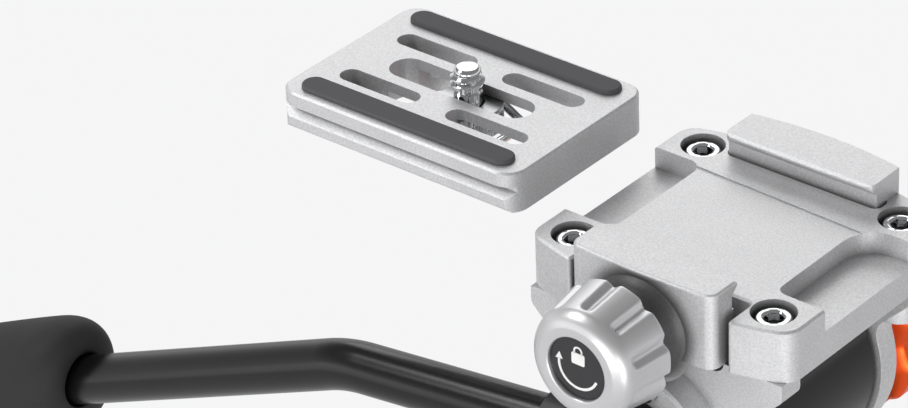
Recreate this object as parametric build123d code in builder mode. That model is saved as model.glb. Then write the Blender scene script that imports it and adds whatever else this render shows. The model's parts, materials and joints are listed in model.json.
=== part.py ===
from build123d import *
import os
from math import cos, radians, sin

# Compact fluid video head with a quick release plate slid off the back.
# X points forward along the dovetail, Y to the left, Z up. The origin is the
# mouth of the tripod thread, in the middle of the flat underside of the base.

# Heights of the main levels
base_thick = 5.0
ring_thick = 3.4
ring_gap = 0.3
housing_thick = 11.1
pan_seat_z = base_thick + ring_thick + ring_gap
housing_top_z = pan_seat_z + housing_thick
tilt_axis_z = 48.0
axis_to_underside = 19.1
platform_thick = 9.9
underside_z = tilt_axis_z + axis_to_underside
platform_top_z = underside_z + platform_thick

# Clearances and shared cuts
run_fit = 0.05
seat_fit = 0.02
body_gap = 0.3
overrun = 1.0
quarter_turn = 90.0

# Base and pan bearing
housing_r = 24.8
base_step = 0.2
base_r = housing_r + base_step
base_edge = 0.8
thread_r = 3.97
thread_len = 9.0
insert_r = 6.5
insert_flange_r = 8.2
insert_flange_thick = 1.2
spindle_r = 9.0
spindle_flange_r = 15.0
spindle_flange_thick = 2.0
spindle_proud = 3.6
spindle_top_z = housing_top_z + spindle_proud
base_screw_r = 1.5
base_screw_head_r = 2.8
base_screw_ring_r = 12.0
base_screw_len = 6.0
base_screw_count = 3
ring_set_in = 0.3
ring_width = 4.0
ring_outer_r = housing_r - ring_set_in
ring_inner_r = ring_outer_r - ring_width
tick_count = 36
tick_width = 0.4
tick_depth = 0.3
tick_height = 1.6
bush_wall = 2.5
bush_len = 9.6
housing_edge = 1.6
nut_r = 11.6
nut_thick = 2.6
nut_notch_count = 4
nut_notch_width = 2.4
thrust_thick = 0.4
thrust_gap = 0.05
drag_washer_r = 14.8

# Neck that carries the drum
neck_flange_r = 18.2
neck_flange_thick = 2.6
neck_half_x = 14.5
neck_edge_r = 4.0
nut_room_r = 12.2
nut_room_depth = 5.2
neck_screw_r = 1.5
neck_screw_head_r = 2.7
neck_screw_head_thick = 2.0
neck_screw_ring_r = 15.2
neck_screw_well = 3.2
neck_screw_count = 4
neck_screw_len = 13.0

# Drum, its bearings and the fluid drag inside
drum_half = 13.2
skirt_len = 4.9
skirt_inner_r = 16.8
drum_r = 19.6
drum_bore_r = 15.8
drum_edge = 0.6
band_thick = 0.4
band_half = 12.4
cap_thick = 2.2
cap_hub_r = 10.4
cap_hub_len = 2.4
bearing_r = 7.5
bearing_len = 2.8
seal_r = 6.6
seal_len = 1.2
axle_r = 5.0
axle_right_end = 18.0
rotor_r = 14.8
rotor_count = 3
rotor_pitch = 4.4
stator_count = 4
disc_thick = 1.2
stator_inner_r = 6.4

# Arms
arm_gap = 0.3
arm_inner = drum_half + arm_gap
right_rim_inner = arm_inner + skirt_len
arm_hub_r = skirt_inner_r - arm_gap
left_arm_thick = 4.6
right_arm_outer = 23.6
arm_r = 20.8
arm_top_half = 26.4
arm_waist_half = 18.9
arm_waist_rise = 8.6
arm_shoulder_rise = 15.9
arm_waist_r = 4.0
arm_shoulder_r = 2.0
pad_r = 4.7
pad_drop = 8.5
right_pad_r = 3.6
right_pad_drop = 5.2
scallop_r = 2.1
scallop_x = 12.4
scallop_depth = 3.6
recess_r = 18.2
recess_depth = 1.1
boss_r = 14.0
boss_face = 28.3
boss_edge = 0.5

# Top platform
platform_half_x = 27.4
platform_half_y = 26.9
platform_bow = 4.7
platform_near_r = 3.9
platform_far_r = 4.2
platform_edge = 0.4
channel_half = 12.0
channel_depth = 0.3
pocket_start_x = 17.0
pocket_depth = 4.2
pocket_half_y = 12.9
pocket_corner_r = 2.5
relief_gap = 0.4
cutout_half_x = 16.4
cutout_depth = 8.9
cutout_wall_y = platform_half_y - cutout_depth
cutout_inner_r = 1.2
cutout_outer_r = 0.6
screw_x = 20.9
screw_y = 18.3
screw_hole_r = 2.1
screw_well_r = 4.0
screw_well_depth = 4.9
screw_head_r = 3.4
screw_head_thick = 4.0
screw_r = 2.0
screw_len = 9.0
screw_hole_spare = 0.6
hex_flats = 3.0
hex_depth = 2.0

# Dovetail, shared by the plate and both jaws
jaw_height = 4.85
jaw_half_x = 14.9
lip_y = 17.15
lip_edge = 0.45
foot_y = 18.7
flank_low = 2.5
fixed_jaw_half_x = 15.6
fixed_jaw_corner_r = 1.6
groove_depth = 0.5
groove_front = 0.6
groove_width = 4.0
groove_spread = 0.6
groove_corner_r = 1.6

# Movable jaw, guide pins, clamp screw and its knob
clamp_opening = 3.1
jaw_body_thick = 5.7
jaw_back_gap = 0.2
jaw_front_bulge = 0.7
jaw_bottom_gap = 0.3
jaw_corner_r = 2.0
clamp_drop = 5.6
clamp_z = platform_top_z - clamp_drop
clamp_boss_r = 8.0
clamp_boss_len = 6.2
clamp_cove_r = 11.0
clamp_cove_len = 3.2
jaw_brow_r = 0.5
pin_r = 1.5
pin_x = 9.6
pin_seat_len = 9.0
pin_reach = 5.0
pin_hole_deep = 5.0
clamp_screw_r = 2.5
clamp_screw_reach = 8.0
clamp_hole_deep = 12.0
clip_r = 4.2
clip_thick = 0.6
clip_room_r = 4.7
clip_room_depth = 0.9
knob_gap = 0.35
knob_r = 11.4
knob_front_r = 10.2
knob_len = 11.2
knob_face_r = 8.1
knob_shoulder = 2.3
knob_back_edge = 0.5
knob_dish_r = 5.9
knob_dish_depth = 1.6
knob_disc_thick = 0.8
flute_count = 10
flute_r = 1.5
flute_depth = 0.9
flute_start = 2.6
flute_turn = 19.0

# Tilt lock knob on the left
lock_gap = 0.4
lock_r = 21.4
lock_len = 13.0
lock_lobe_count = 8
lock_scallop_r = 6.5
lock_scallop_ring_r = 25.6
lock_inner_r = 15.0
lock_inner_slope = 3.4
lock_outer_edge = 1.4
lock_dish_r = 12.0
lock_dish_depth = 2.4
lock_cap_thick = 1.6
stud_r = 4.0
stud_reach = 8.0
lock_washer_r = 8.0
lock_washer_thick = 0.8

# Pan lock knob, stud and brake shoe on the left of the pan housing
pan_lock_rise = 5.4
pan_lock_z = pan_seat_z + pan_lock_rise
pan_knob_gap = 1.6
pan_knob_r = 7.6
pan_knob_len = 11.0
pan_knob_lobe_count = 6
pan_knob_scallop_r = 2.6
pan_knob_scallop_ring_r = 9.2
pan_knob_edge = 0.8
pan_boss_r = 5.6
pan_boss_proud = 0.8
pan_boss_root = 6.0
pan_stud_r = 2.5
pan_stud_in_knob = 6.0
pan_stud_bore = 0.1
shoe_r = 3.4
shoe_len = 4.5

# Pan handle: knuckle, socket, bent tube and grip
knuckle_r = 9.0
knuckle_gap = 0.3
knuckle_thick = 8.4
knuckle_edge = 0.8
handle_rise = 2.3
socket_r = 6.5
socket_neck_r = 4.0
socket_start = 6.0
socket_flare = 3.0
socket_len = 18.0
socket_edge = 0.6
handle_first_drop = 6.2
handle_second_drop = 23.3
handle_bend_x = 61.0
handle_bend_r = 32.0
tube_r = 4.5
tube_wall = 1.0
tube_start = 10.5
tube_in_grip = 25.0
grip_start = 71.5
grip_len = 98.0
grip_r = 13.2
grip_waist_r = 12.6
grip_waist_place = 44.0
grip_dome_len = 10.5
grip_mouth_r = 6.2
grip_mouth_depth = 1.6
grip_tail_len = 7.0
grip_plug_r = 8.0
grip_plug_thick = 1.6
handle_screw_r = 3.0
handle_screw_deep = 9.0
handle_screw_spare = 0.3
handle_head_r = 5.6
handle_head_thick = 4.0
handle_head_sunk = 3.2
handle_hex_flats = 5.0
handle_hex_depth = 2.4
index_pin_r = 1.8
index_pin_ring_r = 11.8
index_pin_angle = 78.0
index_pin_reach = 1.8
index_pin_seat = 3.0

# Quick release plate, slid off the back as the photograph shows it
plate_half_x = 26.75
plate_half_y = 19.0
plate_thick = 7.8
plate_corner_r = 4.0
plate_edge = 0.4
plate_float = 0.05
plate_slack = 0.05
plate_rest_x = -59.0
plate_flange = 2.75
plate_foot_bevel = 0.8
strip_half_x = 23.5
strip_half_y = 2.35
strip_y = 14.95
strip_proud = 0.9
strip_sunk = 0.8
slot_half_x = 15.6
slot_r = 3.45
side_slot_x = 12.1
side_slot_half_x = 8.7
side_slot_r = 2.1
side_slot_y = 7.9
side_slot_depth = 5.0
plate_pocket_front = 21.0
plate_pocket_back = 13.0
plate_pocket_half_y = 11.0
plate_pocket_corner_r = 9.0
plate_pocket_depth = 3.6

# Camera screw, its washer and the folding ring that turns it
camera_screw_r = 3.175
camera_screw_proud = 6.5
camera_screw_x = 1.5
camera_screw_tip = 0.6
camera_neck_r = 2.6
camera_head_r = 6.2
camera_head_low = 0.4
camera_head_thick = 2.7
screwdriver_slot_width = 1.2
screwdriver_slot_depth = 1.0
slide_washer_r = 6.2
slide_washer_thick = 0.35
ring_wire_r = 0.8
ring_reach = 9.0
ring_tip_half = 4.5
ring_root_half = 8.6
ring_pin_inner = 4.6
ring_bend_r = 1.6

# Places that several pieces share
jaw_back_y = -(cutout_wall_y + jaw_back_gap + clamp_opening)
jaw_front_y = jaw_back_y - jaw_body_thick
clamp_z = platform_top_z - clamp_drop
clamp_boss_y = jaw_front_y - clamp_boss_len
knob_back_y = clamp_boss_y - knob_gap
knob_front_y = knob_back_y - knob_len
left_arm_outer = arm_inner + left_arm_thick
lock_inner_y = left_arm_outer + lock_washer_thick + lock_gap
lock_outer_y = lock_inner_y + lock_len
recess_y = recess_depth - right_arm_outer
knuckle_y = -(boss_face + knuckle_gap)
knuckle_front_y = knuckle_y - knuckle_thick
handle_y = knuckle_y - knuckle_thick / 2
plate_rest_y = -clamp_opening / 2
plate_low_z = platform_top_z + plate_float
plate_top_z = plate_low_z + plate_thick
camera_x = plate_rest_x + camera_screw_x
head_low_z = plate_low_z + camera_head_low
head_top_z = head_low_z + camera_head_thick
ring_z = head_low_z + camera_head_thick / 2
nut_seat_z = housing_top_z + thrust_thick + thrust_gap

os.makedirs("parts", exist_ok=True)


def across(y, z=0.0):
    """A plane square to Y: sketch X is forward and sketch Y is up. It extrudes to the right."""
    return Plane(origin=(0, y, z), x_dir=(1, 0, 0), z_dir=(0, -1, 0))


# Base plate: a flat disc with the insert's seat and sunk screw holes
with BuildPart() as base_plate:
    with BuildSketch():
        Circle(base_r)
    extrude(amount=base_thick)
    chamfer(base_plate.edges().group_by(Axis.Z)[0], length=base_edge)
    with BuildSketch():
        Circle(insert_flange_r + seat_fit)
    extrude(amount=insert_flange_thick, mode=Mode.SUBTRACT)
    with BuildSketch():
        Circle(insert_r + seat_fit)
    extrude(amount=base_thick, mode=Mode.SUBTRACT)
    with Locations(Plane.XY.rotated((180, 0, 0))):
        with PolarLocations(base_screw_ring_r, base_screw_count):
            CounterSinkHole(base_screw_r + run_fit, base_screw_head_r, depth=base_thick)
base_plate.part.label = "base_plate"
export_step(base_plate.part, "parts/base_plate.step")

# Steel insert that takes the tripod's 3/8 inch screw, drawn as its bore
with BuildPart() as thread_insert:
    with BuildSketch():
        Circle(insert_flange_r)
    extrude(amount=insert_flange_thick)
    with BuildSketch():
        Circle(insert_r)
    extrude(amount=thread_len + insert_flange_thick)
    with BuildSketch():
        Circle(thread_r)
    extrude(amount=thread_len, mode=Mode.SUBTRACT)
thread_insert.part.label = "thread_insert"
export_step(thread_insert.part, "parts/thread_insert.step")

# Spindle that the whole head pans on
with BuildPart() as pan_spindle:
    with BuildSketch(Plane.XY.offset(base_thick)):
        Circle(spindle_flange_r)
    extrude(amount=spindle_flange_thick)
    with BuildSketch(Plane.XY.offset(base_thick)):
        Circle(spindle_r)
    extrude(amount=spindle_top_z - base_thick)
    chamfer(pan_spindle.edges().group_by(Axis.Z)[-1], length=base_edge)
    with BuildSketch(Plane.XY.offset(base_thick)):
        Circle(insert_r + seat_fit)
    extrude(amount=thread_len + insert_flange_thick - base_thick, mode=Mode.SUBTRACT)
    with Locations(Plane.XY.offset(base_thick + spindle_flange_thick)):
        with PolarLocations(base_screw_ring_r, base_screw_count):
            Hole(base_screw_r + run_fit, depth=spindle_flange_thick)
pan_spindle.part.label = "pan_spindle"
export_step(pan_spindle.part, "parts/pan_spindle.step")

# Sunk screws that hold the spindle to the base
with BuildPart() as base_screw:
    with BuildSketch(Plane.XZ):
        with BuildLine():
            Polyline(
                (0, seat_fit),
                (base_screw_head_r - run_fit, seat_fit),
                (base_screw_r, base_screw_head_r - base_screw_r + seat_fit),
                (base_screw_r, base_screw_len),
                (0, base_screw_len),
                close=True,
            )
        make_face()
    revolve(axis=Axis.Z)
    with BuildSketch():
        RegularPolygon(screwdriver_slot_width, 6)
    extrude(amount=screwdriver_slot_depth, mode=Mode.SUBTRACT)
with BuildPart() as base_screws:
    with PolarLocations(base_screw_ring_r, base_screw_count):
        add(base_screw.part)
base_screws.part.label = "base_screws"
export_step(base_screws.part, "parts/base_screws.step")

# Scale ring round the base, with a tick every ten degrees
with BuildPart() as pan_scale_ring:
    with BuildSketch(Plane.XY.offset(base_thick)):
        Circle(ring_outer_r)
        Circle(ring_inner_r, mode=Mode.SUBTRACT)
    extrude(amount=ring_thick)
    with BuildSketch(Plane.XY.offset(base_thick + ring_thick - tick_height)):
        with PolarLocations(ring_outer_r, tick_count):
            Rectangle(2 * tick_depth, tick_width)
    extrude(amount=tick_height, mode=Mode.SUBTRACT)
pan_scale_ring.part.label = "pan_scale_ring"
export_step(pan_scale_ring.part, "parts/pan_scale_ring.step")

# Drag washer between the spindle's flange and the pan housing
with BuildPart() as pan_drag_washer:
    with BuildSketch(Plane.XY.offset(base_thick + spindle_flange_thick)):
        Circle(drag_washer_r)
        Circle(spindle_r + seat_fit, mode=Mode.SUBTRACT)
    extrude(amount=pan_seat_z - base_thick - spindle_flange_thick - thrust_gap)
pan_drag_washer.part.label = "pan_drag_washer"
export_step(pan_drag_washer.part, "parts/pan_drag_washer.step")

# Bronze bush pressed in the housing, with a window for the brake shoe
with BuildPart() as pan_bush:
    with BuildSketch(Plane.XY.offset(housing_top_z - bush_len)):
        Circle(spindle_r + run_fit + bush_wall)
        Circle(spindle_r + run_fit, mode=Mode.SUBTRACT)
    extrude(amount=bush_len)
    with BuildSketch(across(housing_r, pan_lock_z)):
        Circle(shoe_r + run_fit)
    extrude(amount=housing_r, mode=Mode.SUBTRACT)
pan_bush.part.label = "pan_bush"
export_step(pan_bush.part, "parts/pan_bush.step")

# Pan housing: the turning lower body, bored for the bush, brake and screws
with BuildPart() as pan_housing:
    with BuildSketch(Plane.XY.offset(pan_seat_z)):
        Circle(housing_r)
    extrude(amount=housing_thick)
    fillet(pan_housing.edges().group_by(Axis.Z)[-1], radius=housing_edge)
    with BuildSketch(across(housing_r + pan_boss_proud, pan_lock_z)):
        Circle(pan_boss_r)
    extrude(amount=pan_boss_proud + pan_boss_root)
    with BuildSketch(Plane.XY.offset(pan_seat_z)):
        Circle(spindle_r + run_fit + bush_wall + seat_fit)
    extrude(amount=housing_thick, mode=Mode.SUBTRACT)
    with Locations(Plane(origin=(0, 0, pan_seat_z), z_dir=(0, 0, -1))):
        with PolarLocations(neck_screw_ring_r, neck_screw_count, start_angle=45):
            CounterBoreHole(
                neck_screw_r + run_fit,
                neck_screw_head_r + run_fit,
                neck_screw_well,
                depth=housing_thick,
            )
    with BuildSketch(across(spindle_r + shoe_len + body_gap, pan_lock_z)):
        Circle(shoe_r + run_fit)
    extrude(amount=spindle_r, mode=Mode.SUBTRACT)
    with BuildSketch(across(housing_r + pan_boss_proud, pan_lock_z)):
        Circle(pan_stud_r + pan_stud_bore)
    extrude(amount=housing_r - spindle_r, mode=Mode.SUBTRACT)
pan_housing.part.label = "pan_housing"
export_step(pan_housing.part, "parts/pan_housing.step")

# Washer and slotted nut that keep the housing on the spindle
with BuildPart() as pan_top_washer:
    with BuildSketch(Plane.XY.offset(housing_top_z + thrust_gap)):
        Circle(nut_r)
        Circle(spindle_r + seat_fit, mode=Mode.SUBTRACT)
    extrude(amount=thrust_thick)
pan_top_washer.part.label = "pan_top_washer"
export_step(pan_top_washer.part, "parts/pan_top_washer.step")

with BuildPart() as pan_nut:
    with BuildSketch(Plane.XY.offset(nut_seat_z)):
        Circle(nut_r)
        Circle(spindle_r + seat_fit, mode=Mode.SUBTRACT)
        with PolarLocations(nut_r, nut_notch_count):
            Rectangle(nut_notch_width, nut_notch_width, mode=Mode.SUBTRACT)
    extrude(amount=nut_thick)
pan_nut.part.label = "pan_nut"
export_step(pan_nut.part, "parts/pan_nut.step")

# Socket screws that hold the neck down from inside the housing
with BuildPart() as neck_screw:
    with BuildSketch(Plane.XY.offset(pan_seat_z + neck_screw_well - neck_screw_head_thick)):
        Circle(neck_screw_head_r)
    extrude(amount=neck_screw_head_thick)
    with BuildSketch(Plane.XY.offset(pan_seat_z + neck_screw_well)):
        Circle(neck_screw_r)
    extrude(amount=neck_screw_len)
    with BuildSketch(Plane.XY.offset(pan_seat_z + neck_screw_well - neck_screw_head_thick)):
        RegularPolygon(neck_screw_r / 2 + neck_screw_r / 3, 6)
    extrude(amount=neck_screw_head_thick / 2, mode=Mode.SUBTRACT)
with BuildPart() as neck_screws:
    with PolarLocations(neck_screw_ring_r, neck_screw_count, start_angle=45):
        add(neck_screw.part)
neck_screws.part.label = "neck_screws"
export_step(neck_screws.part, "parts/neck_screws.step")

# Drum and its neck in one casting, bored through for the fluid drag
with BuildPart() as drum_shell:
    with BuildSketch(Plane.XY.offset(housing_top_z)):
        Circle(neck_flange_r)
    extrude(amount=neck_flange_thick)
    with BuildSketch(Plane.XY.offset(housing_top_z)):
        RectangleRounded(2 * neck_half_x, 2 * drum_half, neck_edge_r)
    extrude(amount=tilt_axis_z - housing_top_z)
    with BuildSketch(Plane.XY.offset(tilt_axis_z)):
        with BuildLine():
            Polyline(
                (0, -drum_half),
                (skirt_inner_r, -drum_half),
                (skirt_inner_r, -drum_half - skirt_len),
                (drum_r - drum_edge, -drum_half - skirt_len),
                (drum_r, drum_edge - drum_half - skirt_len),
                (drum_r, drum_half - drum_edge),
                (drum_r - drum_edge, drum_half),
                (0, drum_half),
                close=True,
            )
        make_face()
    revolve(axis=Axis((0, 0, tilt_axis_z), (0, 1, 0)))
    with BuildSketch(across(drum_half, tilt_axis_z)):
        Circle(drum_bore_r)
    extrude(amount=2 * drum_half, mode=Mode.SUBTRACT)
    with BuildSketch(Plane.XY.offset(housing_top_z)):
        Circle(nut_room_r)
    extrude(amount=nut_room_depth, mode=Mode.SUBTRACT)
    with BuildSketch(Plane.XY.offset(housing_top_z)):
        with PolarLocations(neck_screw_ring_r, neck_screw_count, start_angle=45):
            Circle(neck_screw_r + seat_fit)
    extrude(amount=neck_screw_len + neck_screw_well - housing_thick + body_gap, mode=Mode.SUBTRACT)
drum_shell.part.label = "drum_shell"
export_step(drum_shell.part, "parts/drum_shell.step")

# Thin band round the drum and its skirt, open below where the neck joins it
with BuildPart() as drum_band:
    with BuildSketch(across(band_half, tilt_axis_z)):
        Circle(drum_r + band_thick)
        Circle(drum_r + seat_fit, mode=Mode.SUBTRACT)
        Rectangle(
            2 * (neck_half_x + body_gap),
            2 * drum_r,
            align=(Align.CENTER, Align.MAX),
            mode=Mode.SUBTRACT,
        )
    extrude(amount=2 * band_half + skirt_len)
drum_band.part.label = "drum_band"
export_step(drum_band.part, "parts/drum_band.step")

# End caps, bearings and seals, alike on both sides of the drum
for side_name, side in (("left", 1), ("right", -1)):
    hub_face_y = side * (drum_half - cap_thick - cap_hub_len)
    bearing_top_y = side * (drum_half - cap_thick - cap_hub_len + bearing_len)
    seal_low_y = side * (drum_half - cap_thick - cap_hub_len + bearing_len + run_fit)

    with BuildPart() as drum_cap:
        with BuildSketch(across(side * drum_half, tilt_axis_z)):
            Circle(drum_bore_r - seat_fit)
        extrude(amount=side * cap_thick)
        with BuildSketch(across(side * (drum_half - cap_thick), tilt_axis_z)):
            Circle(cap_hub_r)
        extrude(amount=side * cap_hub_len)
        with BuildSketch(across(hub_face_y, tilt_axis_z)):
            Circle(bearing_r + seat_fit)
        extrude(amount=-side * bearing_len, mode=Mode.SUBTRACT)
        with BuildSketch(across(side * drum_half, tilt_axis_z)):
            Circle(seal_r + seat_fit)
        extrude(amount=side * (cap_thick + cap_hub_len - bearing_len), mode=Mode.SUBTRACT)
    drum_cap.part.label = side_name + "_drum_cap"
    export_step(drum_cap.part, "parts/" + side_name + "_drum_cap.step")

    with BuildPart() as tilt_bearing:
        with BuildSketch(across(hub_face_y, tilt_axis_z)):
            Circle(bearing_r)
            Circle(axle_r + run_fit, mode=Mode.SUBTRACT)
        extrude(amount=-side * bearing_len)
    tilt_bearing.part.label = side_name + "_bearing"
    export_step(tilt_bearing.part, "parts/" + side_name + "_bearing.step")

    with BuildPart() as axle_seal:
        with BuildSketch(across(seal_low_y, tilt_axis_z)):
            Circle(seal_r)
            Circle(axle_r + run_fit, mode=Mode.SUBTRACT)
        extrude(amount=-side * seal_len)
    axle_seal.part.label = side_name + "_seal"
    export_step(axle_seal.part, "parts/" + side_name + "_seal.step")

# Drag discs: rotors turn with the axle between stators held in the drum
with BuildPart() as stator_ring:
    with BuildSketch(across(disc_thick / 2, tilt_axis_z)):
        Circle(drum_bore_r - seat_fit)
        Circle(stator_inner_r, mode=Mode.SUBTRACT)
    extrude(amount=disc_thick)
with BuildPart() as stator_rings:
    for i in range(stator_count):
        with Locations((0, (i - (stator_count - 1) / 2) * rotor_pitch, 0)):
            add(stator_ring.part)
stator_rings.part.label = "stator_rings"
export_step(stator_rings.part, "parts/stator_rings.step")

with BuildPart() as rotor_disc:
    with BuildSketch(across(disc_thick / 2, tilt_axis_z)):
        Circle(rotor_r)
        Circle(axle_r + seat_fit, mode=Mode.SUBTRACT)
    extrude(amount=disc_thick)
with BuildPart() as rotor_discs:
    for i in range(rotor_count):
        with Locations((0, (i - (rotor_count - 1) / 2) * rotor_pitch, 0)):
            add(rotor_disc.part)
rotor_discs.part.label = "rotor_discs"
export_step(rotor_discs.part, "parts/rotor_discs.step")

# Axle through drum and arms; its left end is the stud of the tilt lock
with BuildPart() as tilt_axle:
    with BuildSketch(across(left_arm_outer, tilt_axis_z)):
        Circle(axle_r)
    extrude(amount=left_arm_outer + axle_right_end)
    with BuildSketch(across(lock_inner_y + stud_reach, tilt_axis_z)):
        Circle(stud_r)
    extrude(amount=lock_inner_y + stud_reach - left_arm_outer)
    chamfer(tilt_axle.edges().group_by(Axis.Y)[-1], length=drum_edge)
tilt_axle.part.label = "tilt_axle"
export_step(tilt_axle.part, "parts/tilt_axle.step")

with BuildPart() as lock_washer:
    with BuildSketch(across(left_arm_outer + lock_washer_thick, tilt_axis_z)):
        Circle(lock_washer_r)
        Circle(stud_r + run_fit, mode=Mode.SUBTRACT)
    extrude(amount=lock_washer_thick)
lock_washer.part.label = "lock_washer"
export_step(lock_washer.part, "parts/lock_washer.step")

# Flat outline that both arms share, drawn round the tilt axis
with BuildSketch() as arm_outline:
    with BuildLine():
        Polyline(
            (-arm_waist_half, 0),
            (-arm_waist_half, arm_waist_rise),
            (-arm_top_half, arm_shoulder_rise),
            (-arm_top_half, axis_to_underside),
            (arm_top_half, axis_to_underside),
            (arm_top_half, arm_shoulder_rise),
            (arm_waist_half, arm_waist_rise),
            (arm_waist_half, 0),
            close=True,
        )
    make_face()
    Circle(arm_r)
    with Locations((0, axis_to_underside)):
        Rectangle(2 * arm_top_half, arm_r, align=(Align.CENTER, Align.MIN), mode=Mode.SUBTRACT)
    shoulders = arm_outline.vertices().filter_by(lambda v: abs(v.Y - arm_shoulder_rise) < seat_fit)
    fillet(shoulders, radius=arm_shoulder_r)
    waists = arm_outline.vertices().filter_by(lambda v: seat_fit < v.Y < arm_shoulder_rise - arm_shoulder_r)
    fillet(waists, radius=arm_waist_r)

# Left arm, with a pad under the platform for each of its two screws
with BuildPart() as left_arm:
    with BuildSketch(across(left_arm_outer, tilt_axis_z)):
        add(arm_outline.sketch)
    extrude(amount=left_arm_thick)
    with BuildSketch(Plane.XY.offset(underside_z - pad_drop)):
        with Locations((-screw_x, screw_y), (screw_x, screw_y)):
            Circle(pad_r)
    extrude(amount=pad_drop)
    with BuildSketch(across(left_arm_outer, tilt_axis_z)):
        Circle(axle_r + seat_fit)
    extrude(amount=left_arm_thick, mode=Mode.SUBTRACT)
    with Locations(Plane.XY.offset(underside_z)):
        with Locations((-screw_x, screw_y), (screw_x, screw_y)):
            Hole(screw_r + seat_fit, depth=screw_len + screw_hole_spare - platform_thick + screw_well_depth)
left_arm.part.label = "left_arm"
export_step(left_arm.part, "parts/left_arm.step")

# Right arm: its hub turns inside the drum's skirt, and its outer face has a round recess
# and the boss that the handle sits on
with BuildPart() as right_arm:
    with BuildSketch(across(-right_rim_inner, tilt_axis_z)):
        add(arm_outline.sketch)
    extrude(amount=right_arm_outer - right_rim_inner)
    with BuildSketch(across(-arm_inner, tilt_axis_z)):
        Circle(arm_hub_r)
    extrude(amount=skirt_len)
    with BuildSketch(Plane.XY.offset(underside_z - right_pad_drop)):
        with Locations((-screw_x, -screw_y), (screw_x, -screw_y)):
            Circle(right_pad_r)
    extrude(amount=right_pad_drop)
    with BuildSketch(across(-right_arm_outer, tilt_axis_z)):
        Circle(recess_r)
    extrude(amount=-recess_depth, mode=Mode.SUBTRACT)
    with BuildSketch(across(recess_y, tilt_axis_z)):
        Circle(boss_r)
    extrude(amount=boss_face + recess_y)
    chamfer(right_arm.edges().group_by(Axis.Y)[0], length=boss_edge)
    with BuildSketch(across(-arm_inner, tilt_axis_z)):
        Circle(axle_r + seat_fit)
    extrude(amount=axle_right_end - arm_inner, mode=Mode.SUBTRACT)
    with BuildSketch(across(-boss_face, tilt_axis_z)):
        Circle(handle_screw_r + run_fit)
    extrude(amount=-handle_screw_deep - handle_screw_spare, mode=Mode.SUBTRACT)
    with BuildSketch(across(-boss_face, tilt_axis_z)):
        with PolarLocations(index_pin_ring_r, 1, start_angle=index_pin_angle):
            Circle(index_pin_r + seat_fit)
    extrude(amount=-index_pin_seat, mode=Mode.SUBTRACT)
    with BuildSketch(across(-right_arm_outer, underside_z)):
        with Locations((scallop_x, 0)):
            Circle(scallop_r)
    extrude(amount=-scallop_depth, mode=Mode.SUBTRACT)
    with Locations(Plane.XY.offset(underside_z)):
        with Locations((-screw_x, -screw_y), (screw_x, -screw_y)):
            Hole(screw_r + seat_fit, depth=screw_len + screw_hole_spare - platform_thick + screw_well_depth)
right_arm.part.label = "right_arm"
export_step(right_arm.part, "parts/right_arm.step")

# Polished stop pin with a domed tip, pressed in the boss
with BuildPart() as handle_stop_pin:
    with BuildSketch(across(index_pin_seat - boss_face, tilt_axis_z)):
        with PolarLocations(index_pin_ring_r, 1, start_angle=index_pin_angle):
            Circle(index_pin_r)
    extrude(amount=index_pin_seat + index_pin_reach)
    fillet(handle_stop_pin.edges().group_by(Axis.Y)[0], radius=index_pin_r / 2)
handle_stop_pin.part.label = "handle_stop_pin"
export_step(handle_stop_pin.part, "parts/handle_stop_pin.step")

# Outline of the top platform, with a bowed front and back
platform_end_y = platform_half_y - platform_bow
with BuildSketch() as platform_outline:
    with BuildLine():
        Line((-platform_half_x, -platform_end_y), (-platform_half_x, platform_end_y))
        ThreePointArc(
            (-platform_half_x, platform_end_y),
            (0, platform_half_y),
            (platform_half_x, platform_end_y),
        )
        Line((platform_half_x, platform_end_y), (platform_half_x, -platform_end_y))
        ThreePointArc(
            (platform_half_x, -platform_end_y),
            (0, -platform_half_y),
            (-platform_half_x, -platform_end_y),
        )
    make_face()

# Fixed jaw: leans over its undercut and ends flush with the bowed back of the platform
with BuildPart() as fixed_jaw:
    with BuildSketch(Plane.YZ.offset(-fixed_jaw_half_x)):
        with BuildLine():
            Polyline(
                (foot_y, platform_top_z - groove_depth),
                (foot_y, platform_top_z + flank_low),
                (lip_y, platform_top_z + flank_low + foot_y - lip_y),
                (lip_y, platform_top_z + jaw_height - lip_edge),
                (lip_y + lip_edge, platform_top_z + jaw_height),
                (platform_half_y, platform_top_z + jaw_height),
                (platform_half_y, platform_top_z - groove_depth),
                close=True,
            )
        make_face()
    extrude(amount=2 * fixed_jaw_half_x)
    with BuildSketch(Plane.XY.offset(underside_z)):
        add(platform_outline.sketch)
        with Locations((0, platform_half_y)):
            RectangleRounded(
                2 * fixed_jaw_half_x,
                2 * (platform_half_y - lip_y),
                fixed_jaw_corner_r,
                mode=Mode.INTERSECT,
            )
    extrude(amount=platform_thick + jaw_height, mode=Mode.INTERSECT)

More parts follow.
